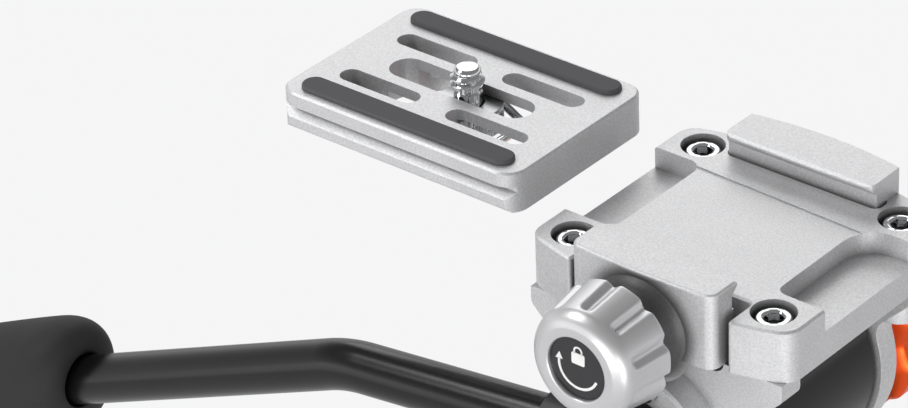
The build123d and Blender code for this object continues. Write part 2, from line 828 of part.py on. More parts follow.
# Top platform: cut out on the right for the movable jaw, with the fixed jaw cast on
with BuildPart() as top_platform:
    with BuildSketch(Plane.XY.offset(underside_z)) as platform_plan:
        add(platform_outline.sketch)
        with Locations((0, -platform_half_y)):
            Rectangle(2 * cutout_half_x, 2 * (platform_half_y - cutout_wall_y), mode=Mode.SUBTRACT)
        fillet(platform_plan.vertices().group_by(Axis.Y)[0], radius=cutout_outer_r)
        fillet(platform_plan.vertices().group_by(Axis.Y)[-1], radius=platform_far_r)
        inner_corners = platform_plan.vertices().filter_by(lambda v: abs(v.Y + cutout_wall_y) < seat_fit)
        fillet(inner_corners, radius=cutout_inner_r)
        near_corners = platform_plan.vertices().filter_by(lambda v: abs(v.Y + platform_end_y) < seat_fit)
        fillet(near_corners, radius=platform_near_r)
    extrude(amount=platform_thick)
    chamfer(top_platform.edges().group_by(Axis.Z)[-1], length=platform_edge)
    with BuildSketch(Plane.XY.offset(platform_top_z)):
        Rectangle(2 * (platform_half_x + overrun), 2 * channel_half)
    extrude(amount=-channel_depth, mode=Mode.SUBTRACT)
    # A cutter's round-ended groove runs along the foot of the fixed jaw
    with BuildSketch(Plane.XY.offset(platform_top_z)):
        with Locations((0, foot_y - groove_front + groove_width / 2)):
            RectangleRounded(2 * (fixed_jaw_half_x + groove_spread), groove_width, groove_corner_r)
    extrude(amount=-groove_depth, mode=Mode.SUBTRACT)
    add(fixed_jaw.part)
    for end in (-1, 1):
        with BuildSketch(Plane.XY.offset(platform_top_z)):
            with Locations((end * (platform_half_x + pocket_start_x) / 2 + end * overrun / 2, 0)):
                RectangleRounded(
                    platform_half_x + overrun - pocket_start_x,
                    2 * pocket_half_y,
                    pocket_corner_r,
                )
            with Locations((end * (platform_half_x + overrun), 0)):
                Rectangle(2 * pocket_corner_r + overrun, 2 * pocket_half_y)
        extrude(amount=-pocket_depth, mode=Mode.SUBTRACT)
    with Locations(Plane.XY.offset(platform_top_z)):
        with GridLocations(2 * screw_x, 2 * screw_y, 2, 2):
            CounterBoreHole(screw_hole_r, screw_well_r, screw_well_depth, depth=platform_thick)
    with BuildSketch(across(arm_inner, tilt_axis_z)):
        Circle(drum_r + band_thick + relief_gap)
    extrude(amount=arm_inner + right_rim_inner, mode=Mode.SUBTRACT)
    with BuildSketch(across(platform_half_y + overrun, tilt_axis_z)):
        Circle(lock_r + relief_gap)
    extrude(amount=platform_half_y + overrun - left_arm_outer, mode=Mode.SUBTRACT)
    with BuildSketch(across(-cutout_wall_y, clamp_z)):
        Circle(clamp_screw_r + run_fit)
    extrude(amount=-clamp_hole_deep, mode=Mode.SUBTRACT)
    with BuildSketch(across(-cutout_wall_y, clamp_z)):
        with Locations((-pin_x, 0), (pin_x, 0)):
            Circle(pin_r + seat_fit)
    extrude(amount=-pin_seat_len, mode=Mode.SUBTRACT)
top_platform.part.label = "top_platform"
export_step(top_platform.part, "parts/top_platform.step")

# Socket screws that hold the platform to the arms
with BuildPart() as platform_screw:
    with BuildSketch(Plane.XY.offset(platform_top_z - screw_well_depth)):
        Circle(screw_head_r)
    extrude(amount=screw_head_thick)
    chamfer(platform_screw.edges().group_by(Axis.Z)[-1], length=hex_flats / 10)
    with BuildSketch(Plane.XY.offset(platform_top_z - screw_well_depth)):
        Circle(screw_r)
    extrude(amount=-screw_len)
    with BuildSketch(Plane.XY.offset(platform_top_z - screw_well_depth + screw_head_thick)):
        RegularPolygon(hex_flats / 2, 6, major_radius=False)
    extrude(amount=-hex_depth, mode=Mode.SUBTRACT)
with BuildPart() as platform_screws:
    with GridLocations(2 * screw_x, 2 * screw_y, 2, 2):
        add(platform_screw.part)
platform_screws.part.label = "platform_screws"
export_step(platform_screws.part, "parts/platform_screws.step")

# Guide pins that the movable jaw slides on
with BuildPart() as jaw_guide_pins:
    with BuildSketch(across(pin_seat_len - cutout_wall_y, clamp_z)):
        with Locations((-pin_x, 0), (pin_x, 0)):
            Circle(pin_r)
    extrude(amount=pin_seat_len + pin_reach)
jaw_guide_pins.part.label = "jaw_guide_pins"
export_step(jaw_guide_pins.part, "parts/jaw_guide_pins.step")

# The jaw's front hollows out in this cove round the screw's boss
with BuildPart() as clamp_cove:
    with BuildSketch(Plane.XY.offset(clamp_z)):
        with BuildLine():
            Polyline(
                (clamp_boss_r, jaw_front_y - clamp_cove_len),
                (clamp_boss_r, clamp_boss_y),
                (0, clamp_boss_y),
                (0, jaw_front_y),
                (clamp_cove_r, jaw_front_y),
            )
            EllipticalCenterArc(
                (clamp_cove_r, jaw_front_y - clamp_cove_len),
                clamp_cove_r - clamp_boss_r,
                clamp_cove_len,
                start_angle=quarter_turn,
                arc_size=quarter_turn,
            )
        make_face()
    revolve(axis=Axis((0, 0, clamp_z), (0, 1, 0)))
    with BuildSketch(Plane.XY.offset(platform_top_z + jaw_height - jaw_brow_r)):
        Rectangle(2 * clamp_cove_r, -2 * clamp_boss_y)
    extrude(amount=clamp_cove_r, mode=Mode.SUBTRACT)

# Movable jaw: a dovetail bar trimmed to its plan, with the clamp screw's boss
with BuildPart() as movable_jaw:
    with BuildSketch(Plane.YZ.offset(-jaw_half_x)):
        with BuildLine():
            Polyline(
                (jaw_back_y, underside_z + jaw_bottom_gap),
                (jaw_back_y, platform_top_z),
                (-foot_y - clamp_opening, platform_top_z),
                (-foot_y - clamp_opening, platform_top_z + flank_low),
                (-lip_y - clamp_opening, platform_top_z + flank_low + foot_y - lip_y),
                (-lip_y - clamp_opening, platform_top_z + jaw_height - lip_edge),
                (-lip_y - clamp_opening - lip_edge, platform_top_z + jaw_height),
                (jaw_front_y - jaw_front_bulge, platform_top_z + jaw_height),
                (jaw_front_y - jaw_front_bulge, underside_z + jaw_bottom_gap),
                close=True,
            )
        make_face()
    extrude(amount=2 * jaw_half_x)
    with BuildSketch(Plane.XY.offset(underside_z)) as jaw_plan:
        with BuildLine():
            Polyline(
                (-jaw_half_x, jaw_front_y),
                (-jaw_half_x, 0),
                (jaw_half_x, 0),
                (jaw_half_x, jaw_front_y),
            )
            ThreePointArc(
                (jaw_half_x, jaw_front_y),
                (0, jaw_front_y - jaw_front_bulge),
                (-jaw_half_x, jaw_front_y),
            )
        make_face()
        fillet(jaw_plan.vertices().group_by(Axis.Y)[0], radius=jaw_corner_r)
    extrude(amount=platform_thick + 2 * jaw_height, mode=Mode.INTERSECT)
    jaw_brow = movable_jaw.edges().group_by(Axis.Z)[-1].sort_by(Axis.Y)
    fillet(jaw_brow[0], radius=jaw_brow_r)
    add(clamp_cove.part)
    # Room for the boss on the arm and its stop pin when the jaw is closed
    with BuildSketch(across(jaw_front_y, tilt_axis_z)):
        Circle(boss_r + relief_gap)
    extrude(amount=boss_face + clamp_opening + body_gap + jaw_front_y, mode=Mode.SUBTRACT)
    with BuildSketch(across(jaw_back_y, clamp_z)):
        Circle(clamp_screw_r + run_fit)
    extrude(amount=jaw_back_y - clamp_boss_y, mode=Mode.SUBTRACT)
    with BuildSketch(across(jaw_back_y, clamp_z)):
        Circle(clip_room_r)
    extrude(amount=clip_room_depth, mode=Mode.SUBTRACT)
    with BuildSketch(across(jaw_back_y, clamp_z)):
        with Locations((-pin_x, 0), (pin_x, 0)):
            Circle(pin_r + run_fit)
    extrude(amount=pin_hole_deep, mode=Mode.SUBTRACT)
movable_jaw.part.label = "movable_jaw"
export_step(movable_jaw.part, "parts/movable_jaw.step")

# Clamp screw, the clip behind the jaw, the fluted knob and its face disc
with BuildPart() as clamp_screw:
    with BuildSketch(across(clamp_screw_reach - cutout_wall_y, clamp_z)):
        Circle(clamp_screw_r)
    extrude(amount=clamp_screw_reach - cutout_wall_y - knob_front_y - knob_dish_depth)
    chamfer(clamp_screw.edges().group_by(Axis.Y)[-1], length=clamp_screw_r / 5)
clamp_screw.part.label = "clamp_screw"
export_step(clamp_screw.part, "parts/clamp_screw.step")

with BuildPart() as clamp_clip:
    with BuildSketch(across(jaw_back_y - (clip_room_depth - clip_thick) / 2, clamp_z)):
        Circle(clip_r)
        Circle(clamp_screw_r + seat_fit, mode=Mode.SUBTRACT)
        Rectangle(clamp_screw_r, 2 * clip_r, align=(Align.CENTER, Align.MAX), mode=Mode.SUBTRACT)
    extrude(amount=clip_thick)
clamp_clip.part.label = "clamp_clip"
export_step(clamp_clip.part, "parts/clamp_clip.step")

# One ball-ended flute that follows the knob's taper, seen from the middle of the knob's face
flute_front = Vector(knob_front_r + flute_r - flute_depth, 0, -flute_start - flute_r)
flute_back = Vector(knob_r + flute_r - flute_depth, 0, -knob_len)
with BuildPart() as knob_flute:
    with BuildSketch(Plane(origin=flute_front, z_dir=flute_back - flute_front)):
        Circle(flute_r)
    extrude(amount=knob_len)
    with Locations(flute_front):
        Sphere(flute_r)

with BuildPart() as clamp_knob:
    with BuildSketch(Plane.XY.offset(clamp_z)):
        with BuildLine():
            Polyline(
                (clamp_screw_r + seat_fit, knob_back_y),
                (knob_r - knob_back_edge, knob_back_y),
                (knob_r, knob_back_y - knob_back_edge),
                (knob_front_r, knob_front_y + knob_shoulder),
                (knob_face_r, knob_front_y),
                (knob_dish_r, knob_front_y),
                (knob_dish_r, knob_front_y + knob_dish_depth),
                (clamp_screw_r + seat_fit, knob_front_y + knob_dish_depth),
                close=True,
            )
        make_face()
    revolve(axis=Axis((0, 0, clamp_z), (0, 1, 0)))
    with Locations(across(knob_front_y, clamp_z)):
        with PolarLocations(0, flute_count, start_angle=flute_turn):
            add(knob_flute.part, mode=Mode.SUBTRACT)
clamp_knob.part.label = "clamp_knob"
export_step(clamp_knob.part, "parts/clamp_knob.step")

with BuildPart() as knob_face_disc:
    with BuildSketch(across(knob_front_y + knob_dish_depth, clamp_z)):
        Circle(knob_dish_r - run_fit)
    extrude(amount=knob_disc_thick)
knob_face_disc.part.label = "knob_face_disc"
export_step(knob_face_disc.part, "parts/knob_face_disc.step")

# Tilt lock knob: coned towards the arm, with scalloped lobes and a sunk cap
with BuildPart() as tilt_lock_knob:
    with BuildSketch(Plane.XY.offset(tilt_axis_z)):
        with BuildLine():
            Polyline(
                (0, lock_inner_y),
                (lock_inner_r, lock_inner_y),
                (lock_r, lock_inner_y + lock_inner_slope),
                (lock_r, lock_outer_y - lock_outer_edge),
                (lock_r - lock_outer_edge, lock_outer_y),
                (lock_dish_r, lock_outer_y),
                (lock_dish_r, lock_outer_y - lock_dish_depth),
                (0, lock_outer_y - lock_dish_depth),
                close=True,
            )
        make_face()
    revolve(axis=Axis((0, 0, tilt_axis_z), (0, 1, 0)))
    with BuildSketch(across(lock_outer_y, tilt_axis_z)):
        with PolarLocations(lock_scallop_ring_r, lock_lobe_count):
            Circle(lock_scallop_r)
    extrude(amount=lock_len, mode=Mode.SUBTRACT)
    with BuildSketch(across(lock_inner_y, tilt_axis_z)):
        Circle(stud_r + run_fit)
    extrude(amount=-stud_reach - body_gap, mode=Mode.SUBTRACT)
tilt_lock_knob.part.label = "tilt_lock_knob"
export_step(tilt_lock_knob.part, "parts/tilt_lock_knob.step")

with BuildPart() as tilt_lock_cap:
    with BuildSketch(across(lock_outer_y - lock_dish_depth + lock_cap_thick, tilt_axis_z)):
        Circle(lock_dish_r - seat_fit)
    extrude(amount=lock_cap_thick)
tilt_lock_cap.part.label = "tilt_lock_cap"
export_step(tilt_lock_cap.part, "parts/tilt_lock_cap.step")

# Pan lock: lobed knob, its stud and the shoe that presses on the spindle
with BuildPart() as pan_lock_knob:
    with BuildSketch(Plane.XY.offset(pan_lock_z)):
        with BuildLine():
            Polyline(
                (0, housing_r + pan_knob_gap),
                (pan_knob_r - pan_knob_edge, housing_r + pan_knob_gap),
                (pan_knob_r, housing_r + pan_knob_gap + pan_knob_edge),
                (pan_knob_r, housing_r + pan_knob_gap + pan_knob_len - pan_knob_edge),
                (pan_knob_r - pan_knob_edge, housing_r + pan_knob_gap + pan_knob_len),
                (0, housing_r + pan_knob_gap + pan_knob_len),
                close=True,
            )
        make_face()
    revolve(axis=Axis((0, 0, pan_lock_z), (0, 1, 0)))
    with BuildSketch(across(housing_r + pan_knob_gap + pan_knob_len, pan_lock_z)):
        with PolarLocations(pan_knob_scallop_ring_r, pan_knob_lobe_count):
            Circle(pan_knob_scallop_r)
    extrude(amount=pan_knob_len, mode=Mode.SUBTRACT)
    with BuildSketch(across(housing_r + pan_knob_gap, pan_lock_z)):
        Circle(pan_stud_r + seat_fit)
    extrude(amount=-pan_stud_in_knob, mode=Mode.SUBTRACT)
pan_lock_knob.part.label = "pan_lock_knob"
export_step(pan_lock_knob.part, "parts/pan_lock_knob.step")

with BuildPart() as pan_lock_stud:
    with BuildSketch(across(housing_r + pan_knob_gap + pan_stud_in_knob, pan_lock_z)):
        Circle(pan_stud_r)
    extrude(amount=housing_r + pan_knob_gap + pan_stud_in_knob - spindle_r - shoe_len - body_gap - thrust_gap)
pan_lock_stud.part.label = "pan_lock_stud"
export_step(pan_lock_stud.part, "parts/pan_lock_stud.step")

with BuildPart() as pan_brake_shoe:
    with BuildSketch(across(spindle_r + shoe_len + body_gap, pan_lock_z)):
        Circle(shoe_r)
    extrude(amount=shoe_len)
pan_brake_shoe.part.label = "pan_brake_shoe"
export_step(pan_brake_shoe.part, "parts/pan_brake_shoe.step")

# Handle: the tube falls away behind the knuckle, then bends further down
handle_start = Vector(0, handle_y, tilt_axis_z + handle_rise)
first_way = Vector(-cos(radians(handle_first_drop)), 0, -sin(radians(handle_first_drop)))
second_way = Vector(-cos(radians(handle_second_drop)), 0, -sin(radians(handle_second_drop)))
bend_point = handle_start + first_way * (handle_bend_x / cos(radians(handle_first_drop)))
grip_point = bend_point + second_way * grip_start
socket_plane = Plane(origin=handle_start, x_dir=(0, 1, 0), z_dir=first_way)
grip_plane = Plane(origin=grip_point, x_dir=(0, 1, 0), z_dir=second_way)
grip_side_plane = Plane(origin=grip_point, x_dir=(0, 1, 0), z_dir=Vector(0, 1, 0).cross(second_way))

with BuildPart() as handle_knuckle:
    with BuildSketch(across(knuckle_y, tilt_axis_z)):
        Circle(knuckle_r)
    extrude(amount=knuckle_thick)
    chamfer(handle_knuckle.edges().group_by(Axis.Y)[0], length=knuckle_edge)
    with Locations(socket_plane.offset(socket_start)):
        Cone(socket_neck_r, socket_r, socket_flare, align=(Align.CENTER, Align.CENTER, Align.MIN))
    with BuildSketch(socket_plane.offset(socket_start + socket_flare)):
        Circle(socket_r)
    extrude(amount=socket_len - socket_edge)
    with BuildSketch(socket_plane.offset(socket_start + socket_flare + socket_len - socket_edge)):
        Circle(socket_r)
    extrude(amount=socket_edge, taper=45)
    with BuildSketch(across(0, tilt_axis_z)):
        Rectangle(2 * handle_bend_x, 2 * handle_bend_x)
    extrude(amount=-knuckle_y, mode=Mode.SUBTRACT)
    with BuildSketch(socket_plane.offset(tube_start)):
        Circle(tube_r + seat_fit)
    extrude(amount=handle_bend_x, mode=Mode.SUBTRACT)
    with Locations(across(knuckle_front_y, tilt_axis_z)):
        CounterBoreHole(
            handle_screw_r + run_fit,
            handle_head_r + run_fit,
            handle_head_sunk,
            depth=knuckle_thick,
        )
handle_knuckle.part.label = "handle_knuckle"
export_step(handle_knuckle.part, "parts/handle_knuckle.step")

with BuildPart() as handle_screw:
    with BuildSketch(across(knuckle_front_y + handle_head_sunk, tilt_axis_z)):
        Circle(handle_head_r)
    extrude(amount=handle_head_thick)
    chamfer(handle_screw.edges().group_by(Axis.Y)[0], length=socket_edge)
    with BuildSketch(across(knuckle_front_y + handle_head_sunk, tilt_axis_z)):
        Circle(handle_screw_r)
    extrude(amount=knuckle_front_y + handle_head_sunk + boss_face - handle_screw_deep)
    with BuildSketch(across(knuckle_front_y + handle_head_sunk - handle_head_thick, tilt_axis_z)):
        RegularPolygon(handle_hex_flats / 2, 6, major_radius=False)
    extrude(amount=-handle_hex_depth, mode=Mode.SUBTRACT)
handle_screw.part.label = "handle_screw"
export_step(handle_screw.part, "parts/handle_screw.step")

with BuildPart() as handle_tube:
    with BuildLine() as tube_path:
        FilletPolyline(
            handle_start + first_way * tube_start,
            bend_point,
            grip_point + second_way * tube_in_grip,
            radius=handle_bend_r,
        )
    with BuildSketch(socket_plane.offset(tube_start)):
        Circle(tube_r)
        Circle(tube_r - tube_wall, mode=Mode.SUBTRACT)
    sweep()
handle_tube.part.label = "handle_tube"
export_step(handle_tube.part, "parts/handle_tube.step")

# Grip: turned about the tube, domed at its mouth, with a slight waist
with BuildPart() as handle_grip:
    with BuildSketch(grip_side_plane):
        with BuildLine():
            Polyline(
                (0, grip_len - grip_plug_thick),
                (0, tube_in_grip + body_gap),
                (tube_r + seat_fit, tube_in_grip + body_gap),
                (tube_r + seat_fit, grip_mouth_depth),
                (grip_mouth_r, grip_mouth_depth),
                (grip_mouth_r, 0),
            )
            EllipticalCenterArc(
                (grip_mouth_r, grip_dome_len),
                grip_r - grip_mouth_r,
                grip_dome_len,
                start_angle=270,
                arc_size=quarter_turn,
            )
            Spline(
                (grip_r, grip_dome_len),
                (grip_waist_r, grip_waist_place),
                (grip_r, grip_len - grip_tail_len),
                tangents=((0, 1), (0, 1)),
            )
            EllipticalCenterArc(
                (grip_plug_r, grip_len - grip_tail_len),
                grip_r - grip_plug_r,
                grip_tail_len,
                start_angle=0,
                arc_size=quarter_turn,
            )
            Polyline(
                (grip_plug_r, grip_len),
                (grip_plug_r, grip_len - grip_plug_thick),
                (0, grip_len - grip_plug_thick),
            )
        make_face()
    revolve(axis=Axis(grip_point, second_way))
handle_grip.part.label = "handle_grip"
export_step(handle_grip.part, "parts/handle_grip.step")

with BuildPart() as grip_plug:
    with BuildSketch(grip_plane.offset(grip_len - grip_plug_thick)):
        Circle(grip_plug_r - seat_fit)
    extrude(amount=grip_plug_thick)
grip_plug.part.label = "grip_plug"
export_step(grip_plug.part, "parts/grip_plug.step")

# Half of the plate's dovetail profile, from its bottom to its top edge
plate_profile = [
    (foot_y - plate_slack - plate_foot_bevel, 0),
    (foot_y - plate_slack, plate_foot_bevel),
    (foot_y - plate_slack, flank_low - plate_slack),
    (lip_y - plate_slack, flank_low - plate_slack + foot_y - lip_y),
    (lip_y - plate_slack, plate_thick - plate_flange),
    (plate_half_y, plate_thick - plate_flange),
    (plate_half_y, plate_thick),
]

plate_end_plane = Plane(
    origin=(plate_rest_x - plate_half_x, plate_rest_y, plate_low_z),
    x_dir=(0, 1, 0),
    z_dir=(1, 0, 0),
)

# Quick release plate: its profile along X, trimmed to a rounded plan
with BuildPart() as plate_body:
    with BuildSketch(plate_end_plane):
        with BuildLine():
            Polyline(*plate_profile, *[(-y, z) for y, z in reversed(plate_profile)], close=True)
        make_face()
    extrude(amount=2 * plate_half_x)
    with BuildSketch(Plane(origin=(plate_rest_x, plate_rest_y, plate_low_z))):
        RectangleRounded(2 * plate_half_x, 2 * plate_half_y, plate_corner_r)
    extrude(amount=plate_thick, mode=Mode.INTERSECT)
    chamfer(plate_body.edges().group_by(Axis.Z)[-1], length=plate_edge)
    with BuildSketch(Plane(origin=(plate_rest_x, plate_rest_y, plate_low_z))):
        with Locations(((plate_pocket_front - plate_pocket_back) / 2, 0)):
            RectangleRounded(
                plate_pocket_front + plate_pocket_back,
                2 * plate_pocket_half_y,
                plate_pocket_corner_r,
            )
    extrude(amount=plate_pocket_depth, mode=Mode.SUBTRACT)
    with BuildSketch(Plane(origin=(plate_rest_x, plate_rest_y, plate_top_z))):
        SlotOverall(2 * slot_half_x, 2 * slot_r)
    extrude(amount=-plate_thick, mode=Mode.SUBTRACT)
    with BuildSketch(Plane(origin=(plate_rest_x, plate_rest_y, plate_top_z))):
        with GridLocations(2 * side_slot_x, 2 * side_slot_y, 2, 2):
            SlotOverall(2 * side_slot_half_x, 2 * side_slot_r)
    extrude(amount=-side_slot_depth, mode=Mode.SUBTRACT)
    with BuildSketch(Plane(origin=(plate_rest_x, plate_rest_y, plate_top_z))):
        with Locations((0, -strip_y), (0, strip_y)):
            SlotOverall(2 * strip_half_x, 2 * strip_half_y)
    extrude(amount=-strip_sunk, mode=Mode.SUBTRACT)
plate_body.part.label = "plate_body"
export_step(plate_body.part, "parts/plate_body.step")

# Rubber strips sunk in the top of the plate
for strip_name, side in (("left_rubber_strip", 1), ("right_rubber_strip", -1)):
    with BuildPart() as rubber_strip:
        with BuildSketch(Plane(origin=(plate_rest_x, plate_rest_y, plate_top_z - strip_sunk))):
            with Locations((0, side * strip_y)):
                SlotOverall(2 * (strip_half_x - seat_fit), 2 * (strip_half_y - seat_fit))
        extrude(amount=strip_sunk + strip_proud)
        chamfer(rubber_strip.edges().group_by(Axis.Z)[-1], length=strip_proud / 4)
    rubber_strip.part.label = strip_name
    export_step(rubber_strip.part, "parts/" + strip_name + ".step")

# Washer that slides along the slot with the camera screw
with BuildPart() as slide_washer:
    with BuildSketch(Plane(origin=(camera_x, plate_rest_y, head_top_z + thrust_gap))):
        Circle(slide_washer_r)
        Circle(camera_neck_r + body_gap, mode=Mode.SUBTRACT)
    extrude(amount=slide_washer_thick)
slide_washer.part.label = "slide_washer"
export_step(slide_washer.part, "parts/slide_washer.step")

# Camera screw: flat head with a coin slot, thin neck, 1/4 inch end
with BuildPart() as camera_screw:
    with BuildSketch(Plane(origin=(camera_x, plate_rest_y, 0), x_dir=(1, 0, 0), z_dir=(0, -1, 0))):
        with BuildLine():
            Polyline(
                (0, head_low_z),
                (camera_head_r - camera_screw_tip, head_low_z),
                (camera_head_r, head_low_z + camera_screw_tip),
                (camera_head_r, head_top_z),
                (camera_neck_r, head_top_z),
                (camera_neck_r, plate_top_z),
                (camera_screw_r, plate_top_z + camera_screw_tip),
                (camera_screw_r, plate_top_z + camera_screw_proud - camera_screw_tip),
                (camera_screw_r - camera_screw_tip, plate_top_z + camera_screw_proud),
                (0, plate_top_z + camera_screw_proud),
                close=True,
            )
        make_face()
    revolve(axis=Axis((camera_x, plate_rest_y, 0), (0, 0, 1)))
    with BuildSketch(Plane(origin=(camera_x, plate_rest_y, head_low_z))):
        Rectangle(screwdriver_slot_width, 2 * camera_head_r)
    extrude(amount=screwdriver_slot_depth, mode=Mode.SUBTRACT)
    for side in (-1, 1):
        with BuildSketch(across(plate_rest_y + side * camera_head_r, ring_z)):
            with Locations((camera_x, 0)):
                Circle(ring_wire_r + run_fit)
        extrude(amount=side * (camera_head_r - ring_pin_inner + run_fit), mode=Mode.SUBTRACT)
camera_screw.part.label = "camera_screw"
export_step(camera_screw.part, "parts/camera_screw.step")

# Folding ring that turns the camera screw by hand
with BuildPart() as camera_screw_ring:
    with BuildLine(Plane(origin=(camera_x, plate_rest_y, ring_z))):
        FilletPolyline(
            (0, -ring_pin_inner),
            (0, -ring_root_half),
            (ring_reach, -ring_tip_half),
            (ring_reach, ring_tip_half),
            (0, ring_root_half),
            (0, ring_pin_inner),
            radius=ring_bend_r,
        )
    with BuildSketch(across(plate_rest_y - ring_pin_inner, ring_z)):
        with Locations((camera_x, 0)):
            Circle(ring_wire_r)
    sweep()
camera_screw_ring.part.label = "camera_screw_ring"
export_step(camera_screw_ring.part, "parts/camera_screw_ring.step")
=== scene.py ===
import json
from math import atan2, cos, pi, radians, sin

import bmesh
import bpy
from mathutils import Matrix, Vector


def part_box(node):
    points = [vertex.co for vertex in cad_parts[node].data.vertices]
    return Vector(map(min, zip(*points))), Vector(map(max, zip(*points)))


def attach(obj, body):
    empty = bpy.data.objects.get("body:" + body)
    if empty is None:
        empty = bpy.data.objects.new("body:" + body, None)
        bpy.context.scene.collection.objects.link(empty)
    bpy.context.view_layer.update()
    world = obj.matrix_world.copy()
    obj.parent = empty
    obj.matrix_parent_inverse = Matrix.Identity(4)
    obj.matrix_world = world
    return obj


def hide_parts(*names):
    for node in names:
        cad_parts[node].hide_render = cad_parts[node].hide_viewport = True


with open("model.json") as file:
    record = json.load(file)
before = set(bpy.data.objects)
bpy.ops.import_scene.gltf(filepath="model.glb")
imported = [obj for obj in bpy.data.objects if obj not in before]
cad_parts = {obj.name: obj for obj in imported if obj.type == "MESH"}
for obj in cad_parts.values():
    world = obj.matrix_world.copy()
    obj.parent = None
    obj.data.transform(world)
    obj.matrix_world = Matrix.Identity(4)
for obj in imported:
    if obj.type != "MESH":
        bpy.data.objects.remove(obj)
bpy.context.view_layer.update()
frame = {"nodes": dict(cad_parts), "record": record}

bl_info = {
    "name": "Fluid Video Head",
    "version": (1, 0, 0),
    "blender": (4, 5, 0),
    "location": "View3D > Sidebar > Video Head",
    "description": "Finishes a compact fluid video head with its plate slid off the back",
    "category": "Add Mesh",
}

mm = 0.001
nodes = frame["nodes"]
behaviour = frame["record"]["behaviour"]
body_of = {node: body for body, members in behaviour["bodies"].items() for node in members}


def linear(hex_colour):
    """An sRGB hex value as linear red, green, blue and alpha."""
    shares = [int(hex_colour[i:i + 2], 16) / 255 for i in (1, 3, 5)]
    return [c / 12.92 if c <= 0.04045 else ((c + 0.055) / 1.055) ** 2.4 for c in shares] + [1.0]


def length(name, description, size):
    """A length property with its default in millimetres."""
    return bpy.props.FloatProperty(name=name, description=description, default=size * mm, precision=5, unit="LENGTH")


def count(name, description, number):
    return bpy.props.IntProperty(name=name, description=description, default=number, min=1)


def turn(name, description, degrees):
    return bpy.props.FloatProperty(name=name, description=description, default=radians(degrees), unit="ROTATION")


def colour(name, description, hex_colour):
    return bpy.props.FloatVectorProperty(
        name=name, description=description, default=linear(hex_colour), size=4, min=0, max=1, subtype="COLOR"
    )


class HeadFinishes(bpy.types.PropertyGroup):
    """Colours of the finishes."""

    silver: colour("Silver", "Natural anodised aluminium of the castings", "#D7D7D8")
    black: colour("Black", "Powder coat of the drum and the knuckle", "#1B1B1D")
    band: colour("Band", "Gloss lacquer of the band round the drum", "#0C0C0E")
    orange: colour("Orange", "Dyed anodising of the tilt lock knob", "#F2561D")
    tube: colour("Tube", "Satin lacquer of the handle tube", "#0B0B0C")
    grip: colour("Grip", "Moulded rubber of the grip", "#2A2A2B")
    strip: colour("Strip", "Rubber strips on the plate", "#5B5B5D")
    mark: colour("Mark", "Printed lines and arrows", "#F2F2F0")


class HeadEdges(bpy.types.PropertyGroup):
    """How far the real edges of the castings are rounded."""

    platform: length("Platform", "Rounding of the top platform's edges", 0.35)
    plate: length("Plate", "Rounding of the quick release plate's edges", 0.35)
    jaw: length("Jaw", "Rounding of the movable jaw's edges", 0.3)
    arm: length("Arm", "Rounding of the two arms' edges", 0.4)
    knuckle: length("Knuckle", "Rounding of the handle knuckle's edges", 0.35)
    strip: length("Strip", "Rounding of the rubber strips' edges", 0.2)
    weld: length("Weld", "Corners closer than this are one", 0.002)
    smallest_angle: turn("Smallest Angle", "Edges that turn less than this stay smooth", 24)


class HeadKnobs(bpy.types.PropertyGroup):
    """Sizes of the three hand knobs that the frame does not give."""

    flutes: count("Flutes", "Flutes round the clamp knob", 10)
    flute_depth: length("Flute Depth", "Depth of a flute", 0.95)
    flute_half: turn("Flute Half", "Half of a flute's width", 9.0)
    flute_start: length("Flute Start", "Where the flutes start behind the knob's face", 2.6)
    flute_fade: length("Flute Fade", "Length over which a flute dies out", 1.3)
    flute_turn: turn("Flute Turn", "Place of the first flute", 19)
    shoulder: length("Shoulder", "Length of the clamp knob's sloping shoulder", 2.3)
    shoulder_radius: length("Shoulder Radius", "Radius of the clamp knob behind its shoulder", 10.2)
    shoulder_bulge: length("Shoulder Bulge", "How far the shoulder swells out of a straight cone", 0.4)
    face_radius: length("Face Radius", "Outer radius of the clamp knob's flat face", 8.1)
    dish_radius: length("Dish Radius", "Radius of the dish in the clamp knob's face", 5.9)
    dish_depth: length("Dish Depth", "Depth of the dish in the clamp knob's face", 1.6)
    lobes: count("Lobes", "Hollows round the tilt lock knob", 8)
    lobe_depth: length("Lobe Depth", "Depth of a hollow in the tilt lock knob", 2.3)
    lobe_half: turn("Lobe Half", "Half of a hollow's width", 15)
    pan_lobes: count("Pan Lobes", "Hollows round the pan lock knob", 6)
    pan_lobe_depth: length("Pan Lobe Depth", "Depth of a hollow in the pan lock knob", 1.0)
    pan_lobe_half: turn("Pan Lobe Half", "Half of a hollow's width in the pan lock knob", 22)


class HeadFasteners(bpy.types.PropertyGroup):
    """Socket screws of the platform and the camera screw."""

    half_x: length("Half X", "Half the distance between the socket screws along the head", 20.9)
    half_y: length("Half Y", "Half the distance between the socket screws across the head", 18.3)
    head_radius: length("Head Radius", "Radius of a socket screw's head", 3.2)
    head_height: length("Head Height", "Height of a socket screw's head", 4.0)
    head_round: length("Head Rounding", "Rounding of the head's rim", 0.55)
    shank_radius: length("Shank Radius", "Radius of a socket screw's shank", 2.0)
    hex_flats: length("Hex Flats", "Width of the socket across its flats", 3.2)
    hex_depth: length("Hex Depth", "Depth of the socket", 2.0)
    turn_seed: count("Turn Seed", "Which random turns the screws are left at", 7)
    thread_pitch: length("Thread Pitch", "Pitch of the camera screw's thread, 20 to the inch", 1.27)
    thread_radius: length("Thread Radius", "Outer radius of the camera screw's thread", 3.1)
    thread_root: length("Thread Root", "Radius at the bottom of the camera screw's thread", 2.5)
    thread_proud: length("Thread Proud", "Height of the camera screw above the plate", 4.9)


